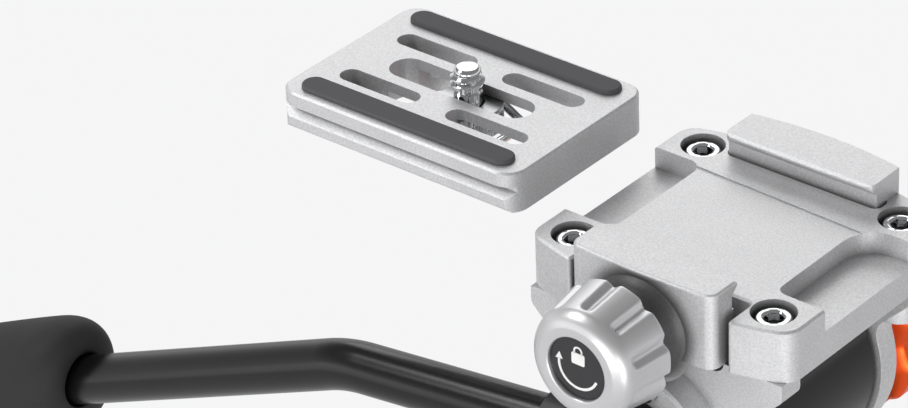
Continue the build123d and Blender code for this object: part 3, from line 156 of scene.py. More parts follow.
class HeadHandle(bpy.types.PropertyGroup):
    """Route of the handle's bent tube and shape of its grip."""

    start: bpy.props.FloatVectorProperty(
        name="Start", description="Where the tube leaves its socket", default=(-0.010443, -0.0328, 0.0491655), unit="LENGTH"
    )
    first_drop: turn("First Drop", "Fall of the tube before its bend", 7.3)
    second_drop: turn("Second Drop", "Fall of the tube after its bend", 24.0)
    bend_x: length("Bend X", "Distance of the bend behind the tilt axis", 61)
    bend_radius: length("Bend Radius", "Radius of the bend", 32)
    after_bend: length("After Bend", "Length from the bend to the tube's end in the grip", 96.5)
    radius: length("Radius", "Outer radius of the tube", 4.65)
    grip_start: length("Grip Start", "Length from the bend to the grip's mouth", 73.5)
    grip_length: length("Grip Length", "Length of the grip", 96)
    grip_radius: length("Grip Radius", "Radius of the grip's swell behind its mouth", 13.6)
    waist_radius: length("Waist Radius", "Radius of the grip's waist", 12.8)
    tail_radius: length("Tail Radius", "Radius of the grip before its rounded tail", 13.2)
    mouth_radius: length("Mouth Radius", "Radius of the mouth round the tube", 5.5)
    mouth_depth: length("Mouth Depth", "Depth of the mouth", 2.4)
    dome_length: length("Dome Length", "Length of the rounded front of the grip", 10.5)
    tail_length: length("Tail Length", "Length of the rounded tail of the grip", 7.0)


class HeadStage(bpy.types.PropertyGroup):
    """Camera, floor and lamps."""

    camera_place: bpy.props.FloatVectorProperty(
        name="Camera Place", description="Where the camera stands", default=(0.387129, -0.525309, 0.476904), unit="LENGTH"
    )
    azimuth: turn("Azimuth", "Turn of the camera round the head", 40.6)
    elevation: turn("Elevation", "Height of the camera above the horizon", 31.15)
    roll: turn("Roll", "Tilt of the picture", 2.25)
    focal_length: bpy.props.FloatProperty(
        name="Focal Length", description="Focal length in millimetres on a sensor 36 mm wide", default=178.41
    )
    floor_z: length("Floor Height", "Height of the floor below the head's mounting face", -330)
    floor_half: length("Floor Half", "Half of the floor's side", 6000)
    backdrop: colour("Backdrop", "Colour of the floor and the air around", "#F7F7F8")
    horizon_light: bpy.props.FloatProperty(
        name="Horizon Light", description="Strength of the air's light near the horizon", default=1.0
    )
    zenith_light: bpy.props.FloatProperty(
        name="Zenith Light", description="Strength of the air's light overhead", default=0.25
    )
    mirrored_floor: bpy.props.FloatProperty(
        name="Mirrored Floor", description="Share of the white floor that shows in gloss and metal", default=0.42
    )


GROUPS = {
    "head_finishes": HeadFinishes,
    "head_edges": HeadEdges,
    "head_knobs": HeadKnobs,
    "head_fasteners": HeadFasteners,
    "head_handle": HeadHandle,
    "head_stage": HeadStage,
}


def add_node(tree, kind, inputs=None, **settings):
    """Adds a node with its settings. Inputs map a socket's name or place to a value or to a socket."""
    node = tree.nodes.new(kind)
    for name, value in settings.items():
        setattr(node, name, value)
    for key, value in (inputs or {}).items():
        if isinstance(value, bpy.types.NodeSocket):
            tree.links.new(value, node.inputs[key])
        else:
            node.inputs[key].default_value = value
    return node


def per_metre(size):
    """Scale of a noise whose features are about this many millimetres across."""
    return 1 / (size * mm)


def start_material(name):
    material = bpy.data.materials.new(name)
    material.use_nodes = True
    tree = material.node_tree
    tree.nodes.clear()
    place = add_node(tree, "ShaderNodeTexCoord").outputs["Object"]
    return material, tree, place


def end_material(tree, inputs):
    surface = add_node(tree, "ShaderNodeBsdfPrincipled", inputs)
    add_node(tree, "ShaderNodeOutputMaterial", {"Surface": surface.outputs[0]})


def varied(tree, factor, low, high):
    """Spreads a factor from 0 to 1 between two numbers."""
    return add_node(
        tree, "ShaderNodeMapRange", {"Value": factor, "To Min": low, "To Max": high}
    ).outputs["Result"]


def tinted(tree, factor, base, share):
    """A colour that drifts by a share of itself with a factor."""
    darker = [c * (1 - share) for c in base[:3]] + [1.0]
    lighter = [min(1.0, c * (1 + share)) for c in base[:3]] + [1.0]
    ramp = add_node(tree, "ShaderNodeMix", {"Factor": factor, 6: darker, 7: lighter}, data_type="RGBA")
    return ramp.outputs[2]


def noise(tree, place, size, detail=3.0, rough=0.5):
    return add_node(
        tree, "ShaderNodeTexNoise", {"Vector": place, "Scale": per_metre(size), "Detail": detail, "Roughness": rough}
    ).outputs[0]


def painted_crevice_shade(tree, colour_out, reach, deepest):
    """Darkens a colour where neighbours close in round it: painted shade in crevices, gaps and sockets."""
    open_share = add_node(tree, "ShaderNodeAmbientOcclusion", {"Distance": reach * mm}, samples=8).outputs["AO"]
    light = add_node(tree, "ShaderNodeMapRange", {
        "Value": open_share, "From Min": 0.2, "From Max": 0.7, "To Min": deepest, "To Max": 1.0,
    }).outputs[0]
    mixed = add_node(tree, "ShaderNodeMix", {0: 1.0, 6: colour_out, 7: light}, data_type="RGBA", blend_type="MULTIPLY")
    return mixed.outputs[2]


def knob_shade(tree, place, colour_out):
    """Painted shadow: darkens the cove round the clamp screw's axis, which the knob overhangs, up to the jaw's flat
    top.
    """
    across = add_node(tree, "ShaderNodeVectorMath", {0: place, 1: (1, 0, 1)}, operation="MULTIPLY").outputs[0]
    radius = add_node(
        tree, "ShaderNodeVectorMath", {0: across, 1: Vector((0, 0, 71.4)) * mm}, operation="DISTANCE"
    ).outputs["Value"]
    cove = add_node(tree, "ShaderNodeMapRange", {
        "Value": radius, "From Min": 8.8 * mm, "From Max": 12.4 * mm, "To Min": 0.16, "To Max": 1.0,
    }, interpolation_type="SMOOTHSTEP").outputs[0]
    height = add_node(tree, "ShaderNodeSeparateXYZ", {"Vector": place}).outputs["Z"]
    top = add_node(tree, "ShaderNodeMapRange", {
        "Value": height, "From Min": 80.6 * mm, "From Max": 81.7 * mm, "To Min": 0.0, "To Max": 1.0,
    }).outputs[0]
    light = math_node(tree, "MAXIMUM", cove, top)
    mixed = add_node(tree, "ShaderNodeMix", {0: 1.0, 6: colour_out, 7: light}, data_type="RGBA", blend_type="MULTIPLY")
    return mixed.outputs[2]


def blasted_aluminium(finishes, name="blasted_anodised_aluminium", shade=None):
    """Cast aluminium, bead blasted and anodised clear: an even, fine, silky grain with no direction."""
    material, tree, place = start_material(name)
    # Glass beads leave dents of about 0.1 mm, drawn three times as coarse so that they show in the render
    grain = noise(tree, place, 0.38, 1.0)
    clouds = noise(tree, place, 9.0)
    speckle = math_node(tree, "MULTIPLY_ADD", math_node(tree, "SUBTRACT", grain, 0.5), 2.6, clouds)
    # Painted shade: the colour darkens in crevices and where neighbouring parts close in
    colour_out = painted_crevice_shade(tree, tinted(tree, speckle, finishes.silver, 0.09), 4.0, 0.4)
    if shade:
        colour_out = shade(tree, place, colour_out)
    bump = add_node(tree, "ShaderNodeBump", {"Strength": 0.6, "Distance": 0.03 * mm, "Height": grain})
    end_material(tree, {
        "Base Color": colour_out,
        "Metallic": 0.6,
        "Roughness": varied(tree, clouds, 0.46, 0.53),
        "Normal": bump.outputs[0],
    })
    return material


def jaw_aluminium_painted_shade(finishes):
    """The same blasted and anodised casting, with painted shade in its cove where the clamp knob overhangs it."""
    return blasted_aluminium(finishes, "blasted_anodised_jaw_aluminium_painted_shade", knob_shade)


def turned_aluminium(finishes):
    """Aluminium turned on a lathe and anodised clear: brighter, with a faint fine grain."""
    material, tree, place = start_material("turned_anodised_aluminium")
    grain = noise(tree, place, 0.4, 2.0)
    clouds = noise(tree, place, 6.0)
    bump = add_node(tree, "ShaderNodeBump", {"Strength": 0.25, "Distance": 0.015 * mm, "Height": grain})
    end_material(tree, {
        # The colour carries painted shade in crevices
        "Base Color": painted_crevice_shade(tree, tinted(tree, grain, finishes.silver, 0.03), 2.5, 0.3),
        "Metallic": 0.7,
        "Roughness": varied(tree, clouds, 0.33, 0.4),
        "Normal": bump.outputs[0],
    })
    return material


def powder_coat(finishes):
    """Die cast alloy under black powder coat: a low sheen over a fine orange peel."""
    material, tree, place = start_material("black_powder_coat")
    peel = noise(tree, place, 0.6, 2.0)
    clouds = noise(tree, place, 7.0)
    bump = add_node(tree, "ShaderNodeBump", {"Strength": 0.3, "Distance": 0.02 * mm, "Height": peel})
    end_material(tree, {
        "Base Color": tinted(tree, clouds, finishes.black, 0.12),
        "Roughness": varied(tree, clouds, 0.4, 0.5),
        "Specular IOR Level": 0.5,
        "Normal": bump.outputs[0],
    })
    return material


def gloss_lacquer(finishes):
    """Sheet metal under black gloss lacquer: deep and wet, with clear reflections."""
    material, tree, place = start_material("gloss_black_lacquer")
    clouds = noise(tree, place, 8.0)
    end_material(tree, {
        "Base Color": tinted(tree, clouds, finishes.band, 0.1),
        "Roughness": varied(tree, clouds, 0.14, 0.2),
        "Specular IOR Level": 0.5,
    })
    return material


def orange_anodising(finishes):
    """Aluminium dyed orange in the anodising bath: a metal's gradients in a saturated colour."""
    material, tree, place = start_material("orange_anodised_aluminium")
    grain = noise(tree, place, 0.35, 2.0)
    clouds = noise(tree, place, 8.0)
    bump = add_node(tree, "ShaderNodeBump", {"Strength": 0.2, "Distance": 0.015 * mm, "Height": grain})
    end_material(tree, {
        "Base Color": tinted(tree, clouds, finishes.orange, 0.05),
        "Metallic": 0.75,
        "Roughness": varied(tree, clouds, 0.3, 0.38),
        "Normal": bump.outputs[0],
    })
    return material


def satin_lacquer(finishes):
    """Drawn steel tube under satin black lacquer: one soft streak of light along its length."""
    material, tree, place = start_material("satin_black_lacquer")
    peel = noise(tree, place, 1.2, 2.0)
    specks = noise(tree, place, 0.3, 1.0)
    bump = add_node(tree, "ShaderNodeBump", {"Strength": 0.15, "Distance": 0.02 * mm, "Height": peel})
    end_material(tree, {
        "Base Color": tinted(tree, specks, finishes.tube, 0.2),
        "Roughness": varied(tree, peel, 0.2, 0.26),
        "Specular IOR Level": 0.45,
        "Normal": bump.outputs[0],
    })
    return material


def moulded_rubber(finishes):
    """Rubber moulded against an etched tool: matt, with a close pebbled skin."""
    material, tree, place = start_material("moulded_grip_rubber")
    pebbles = add_node(
        tree, "ShaderNodeTexVoronoi", {"Vector": place, "Scale": per_metre(0.7)}, feature="SMOOTH_F1"
    ).outputs["Distance"]
    clouds = noise(tree, place, 12.0)
    bump = add_node(tree, "ShaderNodeBump", {"Strength": 0.4, "Distance": 0.05 * mm, "Height": pebbles})
    end_material(tree, {
        "Base Color": tinted(tree, clouds, finishes.grip, 0.1),
        "Roughness": varied(tree, clouds, 0.62, 0.72),
        "Specular IOR Level": 0.35,
        "Normal": bump.outputs[0],
    })
    return material


def strip_rubber(finishes):
    """Sheet rubber cut to a strip: flat grey with a very fine drag of its calender."""
    material, tree, place = start_material("sheet_rubber")
    stretched = add_node(tree, "ShaderNodeMapping", {"Vector": place, "Scale": (0.2, 1.0, 1.0)}).outputs[0]
    drag = noise(tree, stretched, 0.5, 2.0)
    bump = add_node(tree, "ShaderNodeBump", {"Strength": 0.2, "Distance": 0.02 * mm, "Height": drag})
    end_material(tree, {
        "Base Color": tinted(tree, drag, finishes.strip, 0.06),
        "Roughness": varied(tree, drag, 0.66, 0.74),
        "Specular IOR Level": 0.3,
        "Normal": bump.outputs[0],
    })
    return material


def plain_finish(name, hex_colour, metallic, roughness, grain_size, depth, share=0.05):
    """A finish for small and inner parts, told apart by colour, metal, gloss and grain."""
    material, tree, place = start_material(name)
    grain = noise(tree, place, grain_size, 2.0)
    bump = add_node(tree, "ShaderNodeBump", {"Strength": 0.3, "Distance": depth * mm, "Height": grain})
    end_material(tree, {
        # The colour carries painted shade in crevices and sockets
        "Base Color": painted_crevice_shade(tree, tinted(tree, grain, linear(hex_colour), share), 3.0, 0.12),
        "Metallic": metallic,
        "Roughness": varied(tree, grain, roughness * 0.9, roughness * 1.1),
        "Normal": bump.outputs[0],
    })
    return material


def printed_mark(finishes):
    """Screen printed ink: flat and slightly chalky, so that thin lines stay bright."""
    material, tree, place = start_material("printed_white_ink")
    chalk = noise(tree, place, 0.2, 1.0)
    end_material(tree, {
        "Base Color": tinted(tree, chalk, finishes.mark, 0.03),
        "Roughness": varied(tree, chalk, 0.5, 0.6),
    })
    return material


# How much deeper the plate's pocket is than in the solid, and so how much higher its washer sits
WEB_LIFT = 2.1 * mm

# Finish of each CAD node that keeps its own shape
NODE_FINISH = {
    "base_plate": "blasted_anodised_aluminium",
    "thread_insert": "stainless_steel",
    "pan_spindle": "stainless_steel",
    "base_screws": "zinc_plated_steel",
    "pan_scale_ring": "black_powder_coat",
    "pan_drag_washer": "acetal",
    "pan_bush": "sintered_bronze",
    "pan_housing": "black_powder_coat",
    "pan_top_washer": "stainless_steel",
    "pan_nut": "zinc_plated_steel",
    "neck_screws": "zinc_plated_steel",
    "drum_shell": "black_powder_coat",
    "drum_band": "gloss_black_lacquer",
    "left_drum_cap": "black_powder_coat",
    "right_drum_cap": "black_powder_coat",
    "left_bearing": "stainless_steel",
    "right_bearing": "stainless_steel",
    "left_seal": "nitrile_rubber",
    "right_seal": "nitrile_rubber",
    "stator_rings": "acetal",
    "rotor_discs": "stainless_steel",
    "tilt_axle": "stainless_steel",
    "lock_washer": "stainless_steel",
    "handle_stop_pin": "polished_chrome",
    "jaw_guide_pins": "polished_chrome",
    "clamp_screw": "polished_chrome",
    "clamp_clip": "zinc_plated_steel",
    "knob_face_disc": "black_disc_film",
    "tilt_lock_cap": "black_powder_coat",
    "pan_lock_stud": "stainless_steel",
    "pan_brake_shoe": "acetal",
    "handle_screw": "polished_chrome",
    "camera_screw_ring": "polished_chrome",
}


def finish(name):
    return bpy.data.materials[name]


def add_piece(name, mesh, material_name):
    """Links a mesh as a piece in one finish, smooth but for its sharp edges."""
    piece = bpy.data.objects.new(name, mesh)
    bpy.context.scene.collection.objects.link(piece)
    mesh.materials.clear()
    mesh.materials.append(finish(material_name))
    mesh.polygons.foreach_set("use_smooth", [True] * len(mesh.polygons))
    mesh.set_sharp_from_angle(angle=radians(35))
    return piece


def stand_for(piece, *names):
    """Lets a piece ride with its CAD node's body and be shown in its place."""
    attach(piece, body_of[names[0]])
    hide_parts(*names)
    return piece


def rounded_node(node_name, name, width, material_name, segments=3, reshape=None):
    """A CAD node's shape with its triangles merged and its real edges rounded over."""
    edges = bpy.context.scene.head_edges
    work = bmesh.new()
    work.from_mesh(nodes[node_name].data)
    bmesh.ops.remove_doubles(work, verts=work.verts, dist=edges.weld)
    bmesh.ops.dissolve_limit(work, angle_limit=radians(0.6), verts=work.verts, edges=work.edges)
    if reshape:
        reshape(work)
    sharp = [e for e in work.edges if e.is_manifold and e.calc_face_angle() > edges.smallest_angle]
    bmesh.ops.bevel(
        work, geom=sharp, offset=width, offset_type="OFFSET", segments=segments, profile=0.5,
        affect="EDGES", clamp_overlap=True,
    )
    mesh = bpy.data.meshes.new(name)
    work.to_mesh(mesh)
    work.free()
    piece = add_piece(name, mesh, material_name)
    weighted = piece.modifiers.new("face_weight", "WEIGHTED_NORMAL")
    weighted.keep_sharp = True
    return stand_for(piece, node_name)


def ring_points(centre, forward, up, radius, turns):
    """Points of one ring. The radius is a number or a function of the angle."""
    side = forward.cross(up)
    points = []
    for i in range(turns):
        angle = 2 * pi * i / turns
        reach = radius(angle) if callable(radius) else radius
        points.append(centre + reach * (cos(angle) * side + sin(angle) * up))
    return points


def turned_mesh(name, profile, origin, axis, turns, up=Vector((0, 0, 1))):
    """Turns a profile of radius and distance pairs round an axis. Ends on the axis close in a point."""
    work = bmesh.new()
    rings = []
    for radius, along in profile:
        centre = origin + axis * along
        if radius == 0:
            rings.append([work.verts.new(centre)])
        else:
            rings.append([work.verts.new(p) for p in ring_points(centre, axis, up, radius, turns)])
    for low, high in zip(rings, rings[1:]):
        for i in range(turns):
            j = (i + 1) % turns
            if len(low) == 1:
                work.faces.new((low[0], high[i], high[j]))
            elif len(high) == 1:
                work.faces.new((low[i], low[j], high[0]))
            else:
                work.faces.new((low[i], low[j], high[j], high[i]))
    bmesh.ops.recalc_face_normals(work, faces=work.faces)
    mesh = bpy.data.meshes.new(name)
    work.to_mesh(mesh)
    work.free()
    return mesh


def hexagon(flats):
    """Radius of a hexagon by angle, for a lathe that sinks a hexagon socket."""
    return lambda angle: flats / 2 / cos((angle + pi / 6) % (pi / 3) - pi / 6)


def prism(work, outline, front, back):
    """Raises a flat outline of x and z pairs between two planes across the head."""
    rings = [[work.verts.new((x, y, z)) for x, z in outline] for y in (front, back)]
    work.faces.new(rings[0])
    work.faces.new(reversed(rings[1]))
    for i in range(len(outline)):
        j = (i + 1) % len(outline)
        work.faces.new((rings[0][j], rings[0][i], rings[1][i], rings[1][j]))


def thread_mesh(name, centre, root, crest, pitch, low, high, per_turn=40):
    """A screw thread's ridge wound up a shank, dying into it at both ends."""
    work = bmesh.new()
    steps = round((high - low) / pitch * per_turn)
    sections = []
    for i in range(steps + 1):
        angle = 2 * pi * i / per_turn
        rise = low + (high - low) * i / steps
        growth = min(1.0, 3 * i / per_turn, 3 * (steps - i) / per_turn)
        top = root + (crest - root) * growth
        inner = root - 0.1 * pitch
        sections.append([
            work.verts.new(centre + Vector((reach * cos(angle), reach * sin(angle), rise + share * pitch)))
            for reach, share in ((inner, -0.47), (top, -0.12), (top, 0.12), (inner, 0.47))
        ])
    for low_ring, high_ring in zip(sections, sections[1:]):
        for i in range(4):
            j = (i + 1) % 4
            work.faces.new((low_ring[i], low_ring[j], high_ring[j], high_ring[i]))
    work.faces.new(sections[0])
    work.faces.new(sections[-1])
    bmesh.ops.recalc_face_normals(work, faces=work.faces)
    mesh = bpy.data.meshes.new(name)
    work.to_mesh(mesh)
    work.free()
    return mesh


def joined(name, meshes):
    """Several closed meshes as one."""
    work = bmesh.new()
    for mesh in meshes:
        work.from_mesh(mesh)
    whole = bpy.data.meshes.new(name)
    work.to_mesh(whole)
    work.free()
    return whole


def arc_profile(centre, radius, start, stop, steps):
    """Points of an arc in a profile, from one angle in degrees to another."""
    angles = [radians(start + (stop - start) * i / steps) for i in range(steps + 1)]
    return [(centre[0] + radius * cos(a), centre[1] + radius * sin(a)) for a in angles]


def straight_profile(start, stop, steps):
    """Points along a straight stretch of a profile, without its ends."""
    return [
        (start[0] + (stop[0] - start[0]) * i / steps, start[1] + (stop[1] - start[1]) * i / steps)
        for i in range(1, steps)
    ]


def new_tree(name, inputs):
    """A Geometry Nodes tree with named inputs. Returns the tree and its group input node."""
    tree = bpy.data.node_groups.new(name, "GeometryNodeTree")
    tree.interface.new_socket("Geometry", in_out="INPUT", socket_type="NodeSocketGeometry")
    for label, kind in inputs.items():
        tree.interface.new_socket(label, in_out="INPUT", socket_type="NodeSocket" + kind)
    tree.interface.new_socket("Geometry", in_out="OUTPUT", socket_type="NodeSocketGeometry")
    return tree, add_node(tree, "NodeGroupInput").outputs


def end_tree(tree, geometry, material_socket):
    """Realizes what the tree made and gives it its finish."""
    real = add_node(tree, "GeometryNodeRealizeInstances", {"Geometry": geometry})
    dressed = add_node(tree, "GeometryNodeSetMaterial", {"Geometry": real.outputs[0], "Material": material_socket})
    add_node(tree, "NodeGroupOutput", {"Geometry": dressed.outputs[0]})
    return tree


def grown_mesh(tree, values, start=None):
    """Runs a tree on a mesh, with its inputs set by socket identifier, and returns a plain mesh."""
    carrier = bpy.data.objects.new(tree.name, start or bpy.data.meshes.new(tree.name))
    bpy.context.scene.collection.objects.link(carrier)
    modifier = carrier.modifiers.new(tree.name, "NODES")
    modifier.node_group = tree
    for item in tree.interface.items_tree:
        if item.in_out == "INPUT" and item.name in values:
            modifier[item.identifier] = values[item.name]
    shown = carrier.evaluated_get(bpy.context.evaluated_depsgraph_get())
    mesh = bpy.data.meshes.new_from_object(shown)
    bpy.data.objects.remove(carrier)
    return mesh


def math_node(tree, operation, *values):
    return add_node(tree, "ShaderNodeMath", dict(enumerate(values)), operation=operation).outputs[0]


def hollows_tree():
    """Presses hollows into a turned knob: each fades out towards both its ends and its sides."""
    tree, given = new_tree("knob_hollows", {
        "Count": "Int", "Depth": "Float", "Half Width": "Float", "First": "Float",
        "Axis Height": "Float", "Start": "Float", "Start Fade": "Float", "End": "Float", "End Fade": "Float",
        "Least Radius": "Float", "Material": "Material",
    })
    place = add_node(tree, "ShaderNodeSeparateXYZ", {0: add_node(tree, "GeometryNodeInputPosition").outputs[0]}).outputs
    height = math_node(tree, "SUBTRACT", place["Z"], given["Axis Height"])
    radius = math_node(tree, "SQRT", math_node(
        tree, "ADD", math_node(tree, "MULTIPLY", place["X"], place["X"]), math_node(tree, "MULTIPLY", height, height)
    ))
    angle = math_node(tree, "SUBTRACT", math_node(tree, "ARCTAN2", height, place["X"]), given["First"])
    pitch = math_node(tree, "DIVIDE", 2 * pi, given["Count"])
    from_hollow = math_node(tree, "ABSOLUTE", math_node(
        tree, "WRAP", angle, math_node(tree, "MULTIPLY", pitch, 0.5), math_node(tree, "MULTIPLY", pitch, -0.5)
    ))
    across = add_node(tree, "ShaderNodeMapRange", {
        "Value": from_hollow, "From Min": given["Half Width"], "From Max": 0.0,
    }, interpolation_type="SMOOTHSTEP").outputs[0]
    after = add_node(tree, "ShaderNodeMapRange", {
        "Value": place["Y"], "From Min": given["Start"],
        "From Max": math_node(tree, "ADD", given["Start"], given["Start Fade"]),
    }, interpolation_type="SMOOTHSTEP").outputs[0]
    before = add_node(tree, "ShaderNodeMapRange", {
        "Value": place["Y"], "From Min": given["End"],
        "From Max": math_node(tree, "SUBTRACT", given["End"], given["End Fade"]),
    }, interpolation_type="SMOOTHSTEP").outputs[0]
    outside = math_node(tree, "GREATER_THAN", radius, given["Least Radius"])
    depth = given["Depth"]
    for share in (across, after, before, outside):
        depth = math_node(tree, "MULTIPLY", depth, share)
    inward = math_node(tree, "DIVIDE", depth, math_node(tree, "MAXIMUM", radius, given["Least Radius"]))
    offset = add_node(tree, "ShaderNodeCombineXYZ", {
        "X": math_node(tree, "MULTIPLY", math_node(tree, "MULTIPLY", place["X"], inward), -1),
        "Z": math_node(tree, "MULTIPLY", math_node(tree, "MULTIPLY", height, inward), -1),
    })
    moved = add_node(tree, "GeometryNodeSetPosition", {"Geometry": given["Geometry"], "Offset": offset.outputs[0]})
    return end_tree(tree, moved.outputs[0], given["Material"])


def tube_tree():
    """Rounds the corners of a path and skins a round tube along it."""
    tree, given = new_tree("bent_tube", {
        "Bend Radius": "Float", "Bend Steps": "Int", "Tube Radius": "Float", "Sides": "Int", "Material": "Material",
    })
    path = add_node(tree, "GeometryNodeMeshToCurve", {"Mesh": given["Geometry"]})
    bent = add_node(tree, "GeometryNodeFilletCurve", {
        "Curve": path.outputs[0], "Count": given["Bend Steps"], "Radius": given["Bend Radius"],
    }, mode="POLY")
    ring = add_node(tree, "GeometryNodeCurvePrimitiveCircle", {
        "Resolution": given["Sides"], "Radius": given["Tube Radius"],
    })
    skin = add_node(tree, "GeometryNodeCurveToMesh", {
        "Curve": bent.outputs[0], "Profile Curve": ring.outputs[0], "Fill Caps": True,
    })
    return end_tree(tree, skin.outputs[0], given["Material"])


def screws_tree():
    """Sets a screw at the four corners of a rectangle, each left at its own random turn."""
    tree, given = new_tree("corner_screws", {
        "Half X": "Float", "Half Y": "Float", "Height": "Float", "Seed": "Int", "Material": "Material",
    })
    corners = add_node(tree, "GeometryNodeMeshGrid", {
        "Size X": math_node(tree, "MULTIPLY", given["Half X"], 2.0),
        "Size Y": math_node(tree, "MULTIPLY", given["Half Y"], 2.0),
        "Vertices X": 2, "Vertices Y": 2,
    })
    lift = add_node(tree, "ShaderNodeCombineXYZ", {"Z": given["Height"]})
    lifted = add_node(tree, "GeometryNodeTransform", {"Geometry": corners.outputs[0], "Translation": lift.outputs[0]})
    spin = add_node(tree, "FunctionNodeRandomValue", {
        0: (0.0, 0.0, 0.0), 1: (0.0, 0.0, pi / 3), "Seed": given["Seed"],
    }, data_type="FLOAT_VECTOR")
    screws = add_node(tree, "GeometryNodeInstanceOnPoints", {
        "Points": lifted.outputs[0], "Instance": given["Geometry"], "Rotation": spin.outputs[0],
    })
    return end_tree(tree, screws.outputs[0], given["Material"])


def ticks_tree():
    """Stands ticks round a ring, one a step, with every sixth one longer."""
    tree, given = new_tree("scale_ticks", {
        "Count": "Int", "Radius": "Float", "Height": "Float", "Tick": "Float", "Width": "Float",
        "Thickness": "Float", "Material": "Material",
    })
    ring = add_node(tree, "GeometryNodeMeshCircle", {"Vertices": given["Count"], "Radius": given["Radius"]})
    lift = add_node(tree, "ShaderNodeCombineXYZ", {"Z": given["Height"]})
    lifted = add_node(tree, "GeometryNodeTransform", {"Geometry": ring.outputs[0], "Translation": lift.outputs[0]})
    size = add_node(tree, "ShaderNodeCombineXYZ", {"X": given["Thickness"], "Y": given["Width"], "Z": given["Tick"]})
    tick = add_node(tree, "GeometryNodeMeshCube", {"Size": size.outputs[0]})
    place = add_node(tree, "ShaderNodeSeparateXYZ", {0: add_node(tree, "GeometryNodeInputPosition").outputs[0]}).outputs
    angle = math_node(tree, "ARCTAN2", place["Y"], place["X"])
    spin = add_node(tree, "ShaderNodeCombineXYZ", {"Z": angle})
    index = add_node(tree, "GeometryNodeInputIndex").outputs[0]
    is_long = math_node(tree, "LESS_THAN", math_node(tree, "MODULO", index, 6.0), 0.5)
    grown = add_node(tree, "ShaderNodeCombineXYZ", {
        "X": 1.0, "Y": 1.0, "Z": math_node(tree, "MULTIPLY_ADD", is_long, 0.6, 1.0),
    })
    ticks = add_node(tree, "GeometryNodeInstanceOnPoints", {
        "Points": lifted.outputs[0], "Instance": tick.outputs[0], "Rotation": spin.outputs[0],
        "Scale": grown.outputs[0],
    })
    return end_tree(tree, ticks.outputs[0], given["Material"])


class HEAD_OT_finishes(bpy.types.Operator):
    """Make every finish and give the CAD nodes theirs"""

    bl_idname = "head.finishes"
    bl_label = "Finishes"

    def execute(self, context):
        finishes = context.scene.head_finishes
        for make in (
            blasted_aluminium, jaw_aluminium_painted_shade, turned_aluminium, powder_coat, gloss_lacquer, orange_anodising,
            satin_lacquer, moulded_rubber, strip_rubber, printed_mark,
        ):
            make(finishes)
        # Polished and chromed, so it shows the room sharply
        plain_finish("polished_chrome", "#E4E5E6", 1.0, 0.09, 2.0, 0.004, 0.02)
        # Drawn and ground stainless bar: a satin grey
        plain_finish("stainless_steel", "#B9BABB", 1.0, 0.3, 0.5, 0.01)
        # Zinc plate over a cold headed screw: duller, slightly blue
        plain_finish("zinc_plated_steel", "#A9AEB4", 1.0, 0.36, 0.6, 0.015)
        # Pressed and sintered powder, full of open pores
        plain_finish("sintered_bronze", "#A9794A", 1.0, 0.5, 0.4, 0.03)
        # Moulded acetal, milky and waxy
        plain_finish("acetal", "#E9E6DD", 0.0, 0.42, 0.8, 0.01, 0.02)
        # Printed film under a clear coat, a dark grey that shines
        plain_finish("black_disc_film", "#2C2C2E", 0.0, 0.2, 1.5, 0.004, 0.06)
        # Moulded nitrile rubber, dull black
        plain_finish("nitrile_rubber", "#202021", 0.0, 0.6, 0.5, 0.02)
        for node_name, material_name in NODE_FINISH.items():
            mesh = nodes[node_name].data
            mesh.materials.clear()
            mesh.materials.append(finish(material_name))
        return {"FINISHED"}


class HEAD_OT_castings(bpy.types.Operator):
    """Round the edges of the platform, the jaw, the arms and the knuckle"""

    bl_idname = "head.castings"
    bl_label = "Castings"

    def execute(self, context):
        edges = context.scene.head_edges
        rounded_node(
            "top_platform", "platform_casting", edges.platform, "blasted_anodised_aluminium", reshape=self.open_corner
        )
        # The jaw's copy of the aluminium carries painted shade round the clamp knob
        rounded_node("movable_jaw", "jaw_casting", edges.jaw, "blasted_anodised_jaw_aluminium_painted_shade")
        rounded_node("left_arm", "left_arm_casting", edges.arm, "blasted_anodised_aluminium")
        rounded_node("right_arm", "right_arm_casting", edges.arm, "blasted_anodised_aluminium")
        rounded_node(
            "handle_knuckle", "knuckle_casting", edges.knuckle, "black_powder_coat", reshape=self.short_collar
        )
        return {"FINISHED"}

    def open_corner(self, work):
        """Gives the pocket's far corner the wider sweep of the real casting."""
        middle, small, large = Vector((19.5, 10.4)) * mm, 2.5 * mm, 6.0 * mm
        wide = middle + Vector((1, -1)) * (large - small)
        for vert in work.verts:
            out = vert.co.xy - middle
            if abs(out.length - small) < 0.03 * mm and out.x < 0.01 * mm and out.y > -0.01 * mm:
                vert.co.xy = wide + out.normalized() * large

    def short_collar(self, work):
        """Draws the tube's collar in, so that the tube shows up to the clamp knob."""
        start, bend, second = tube_route(bpy.context.scene.head_handle)
        way = (bend - start).normalized()
        for vert in work.verts:
            along = (vert.co - start).dot(way)
            if along > 0:
                vert.co -= way * along * 0.8


class HEAD_OT_plate(bpy.types.Operator):
    """Round the edges of the quick release plate and its rubber strips"""

    bl_idname = "head.plate"
    bl_label = "Quick Release Plate"

    def execute(self, context):
        edges = context.scene.head_edges
        rounded_node(
            "plate_body", "plate_casting", edges.plate, "blasted_anodised_aluminium", reshape=self.thin_web
        )
        for side in ("left", "right"):
            rounded_node(side + "_rubber_strip", side + "_strip", edges.strip, "sheet_rubber")
        return {"FINISHED"}


    def thin_web(self, work):
        """Deepens the pocket under the slots, so that they show through as they do on the real plate."""
        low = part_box("plate_body")[0].z
        for vert in work.verts:
            if abs(vert.co.z - low - 3.6 * mm) < 0.05 * mm:
                vert.co.z += WEB_LIFT


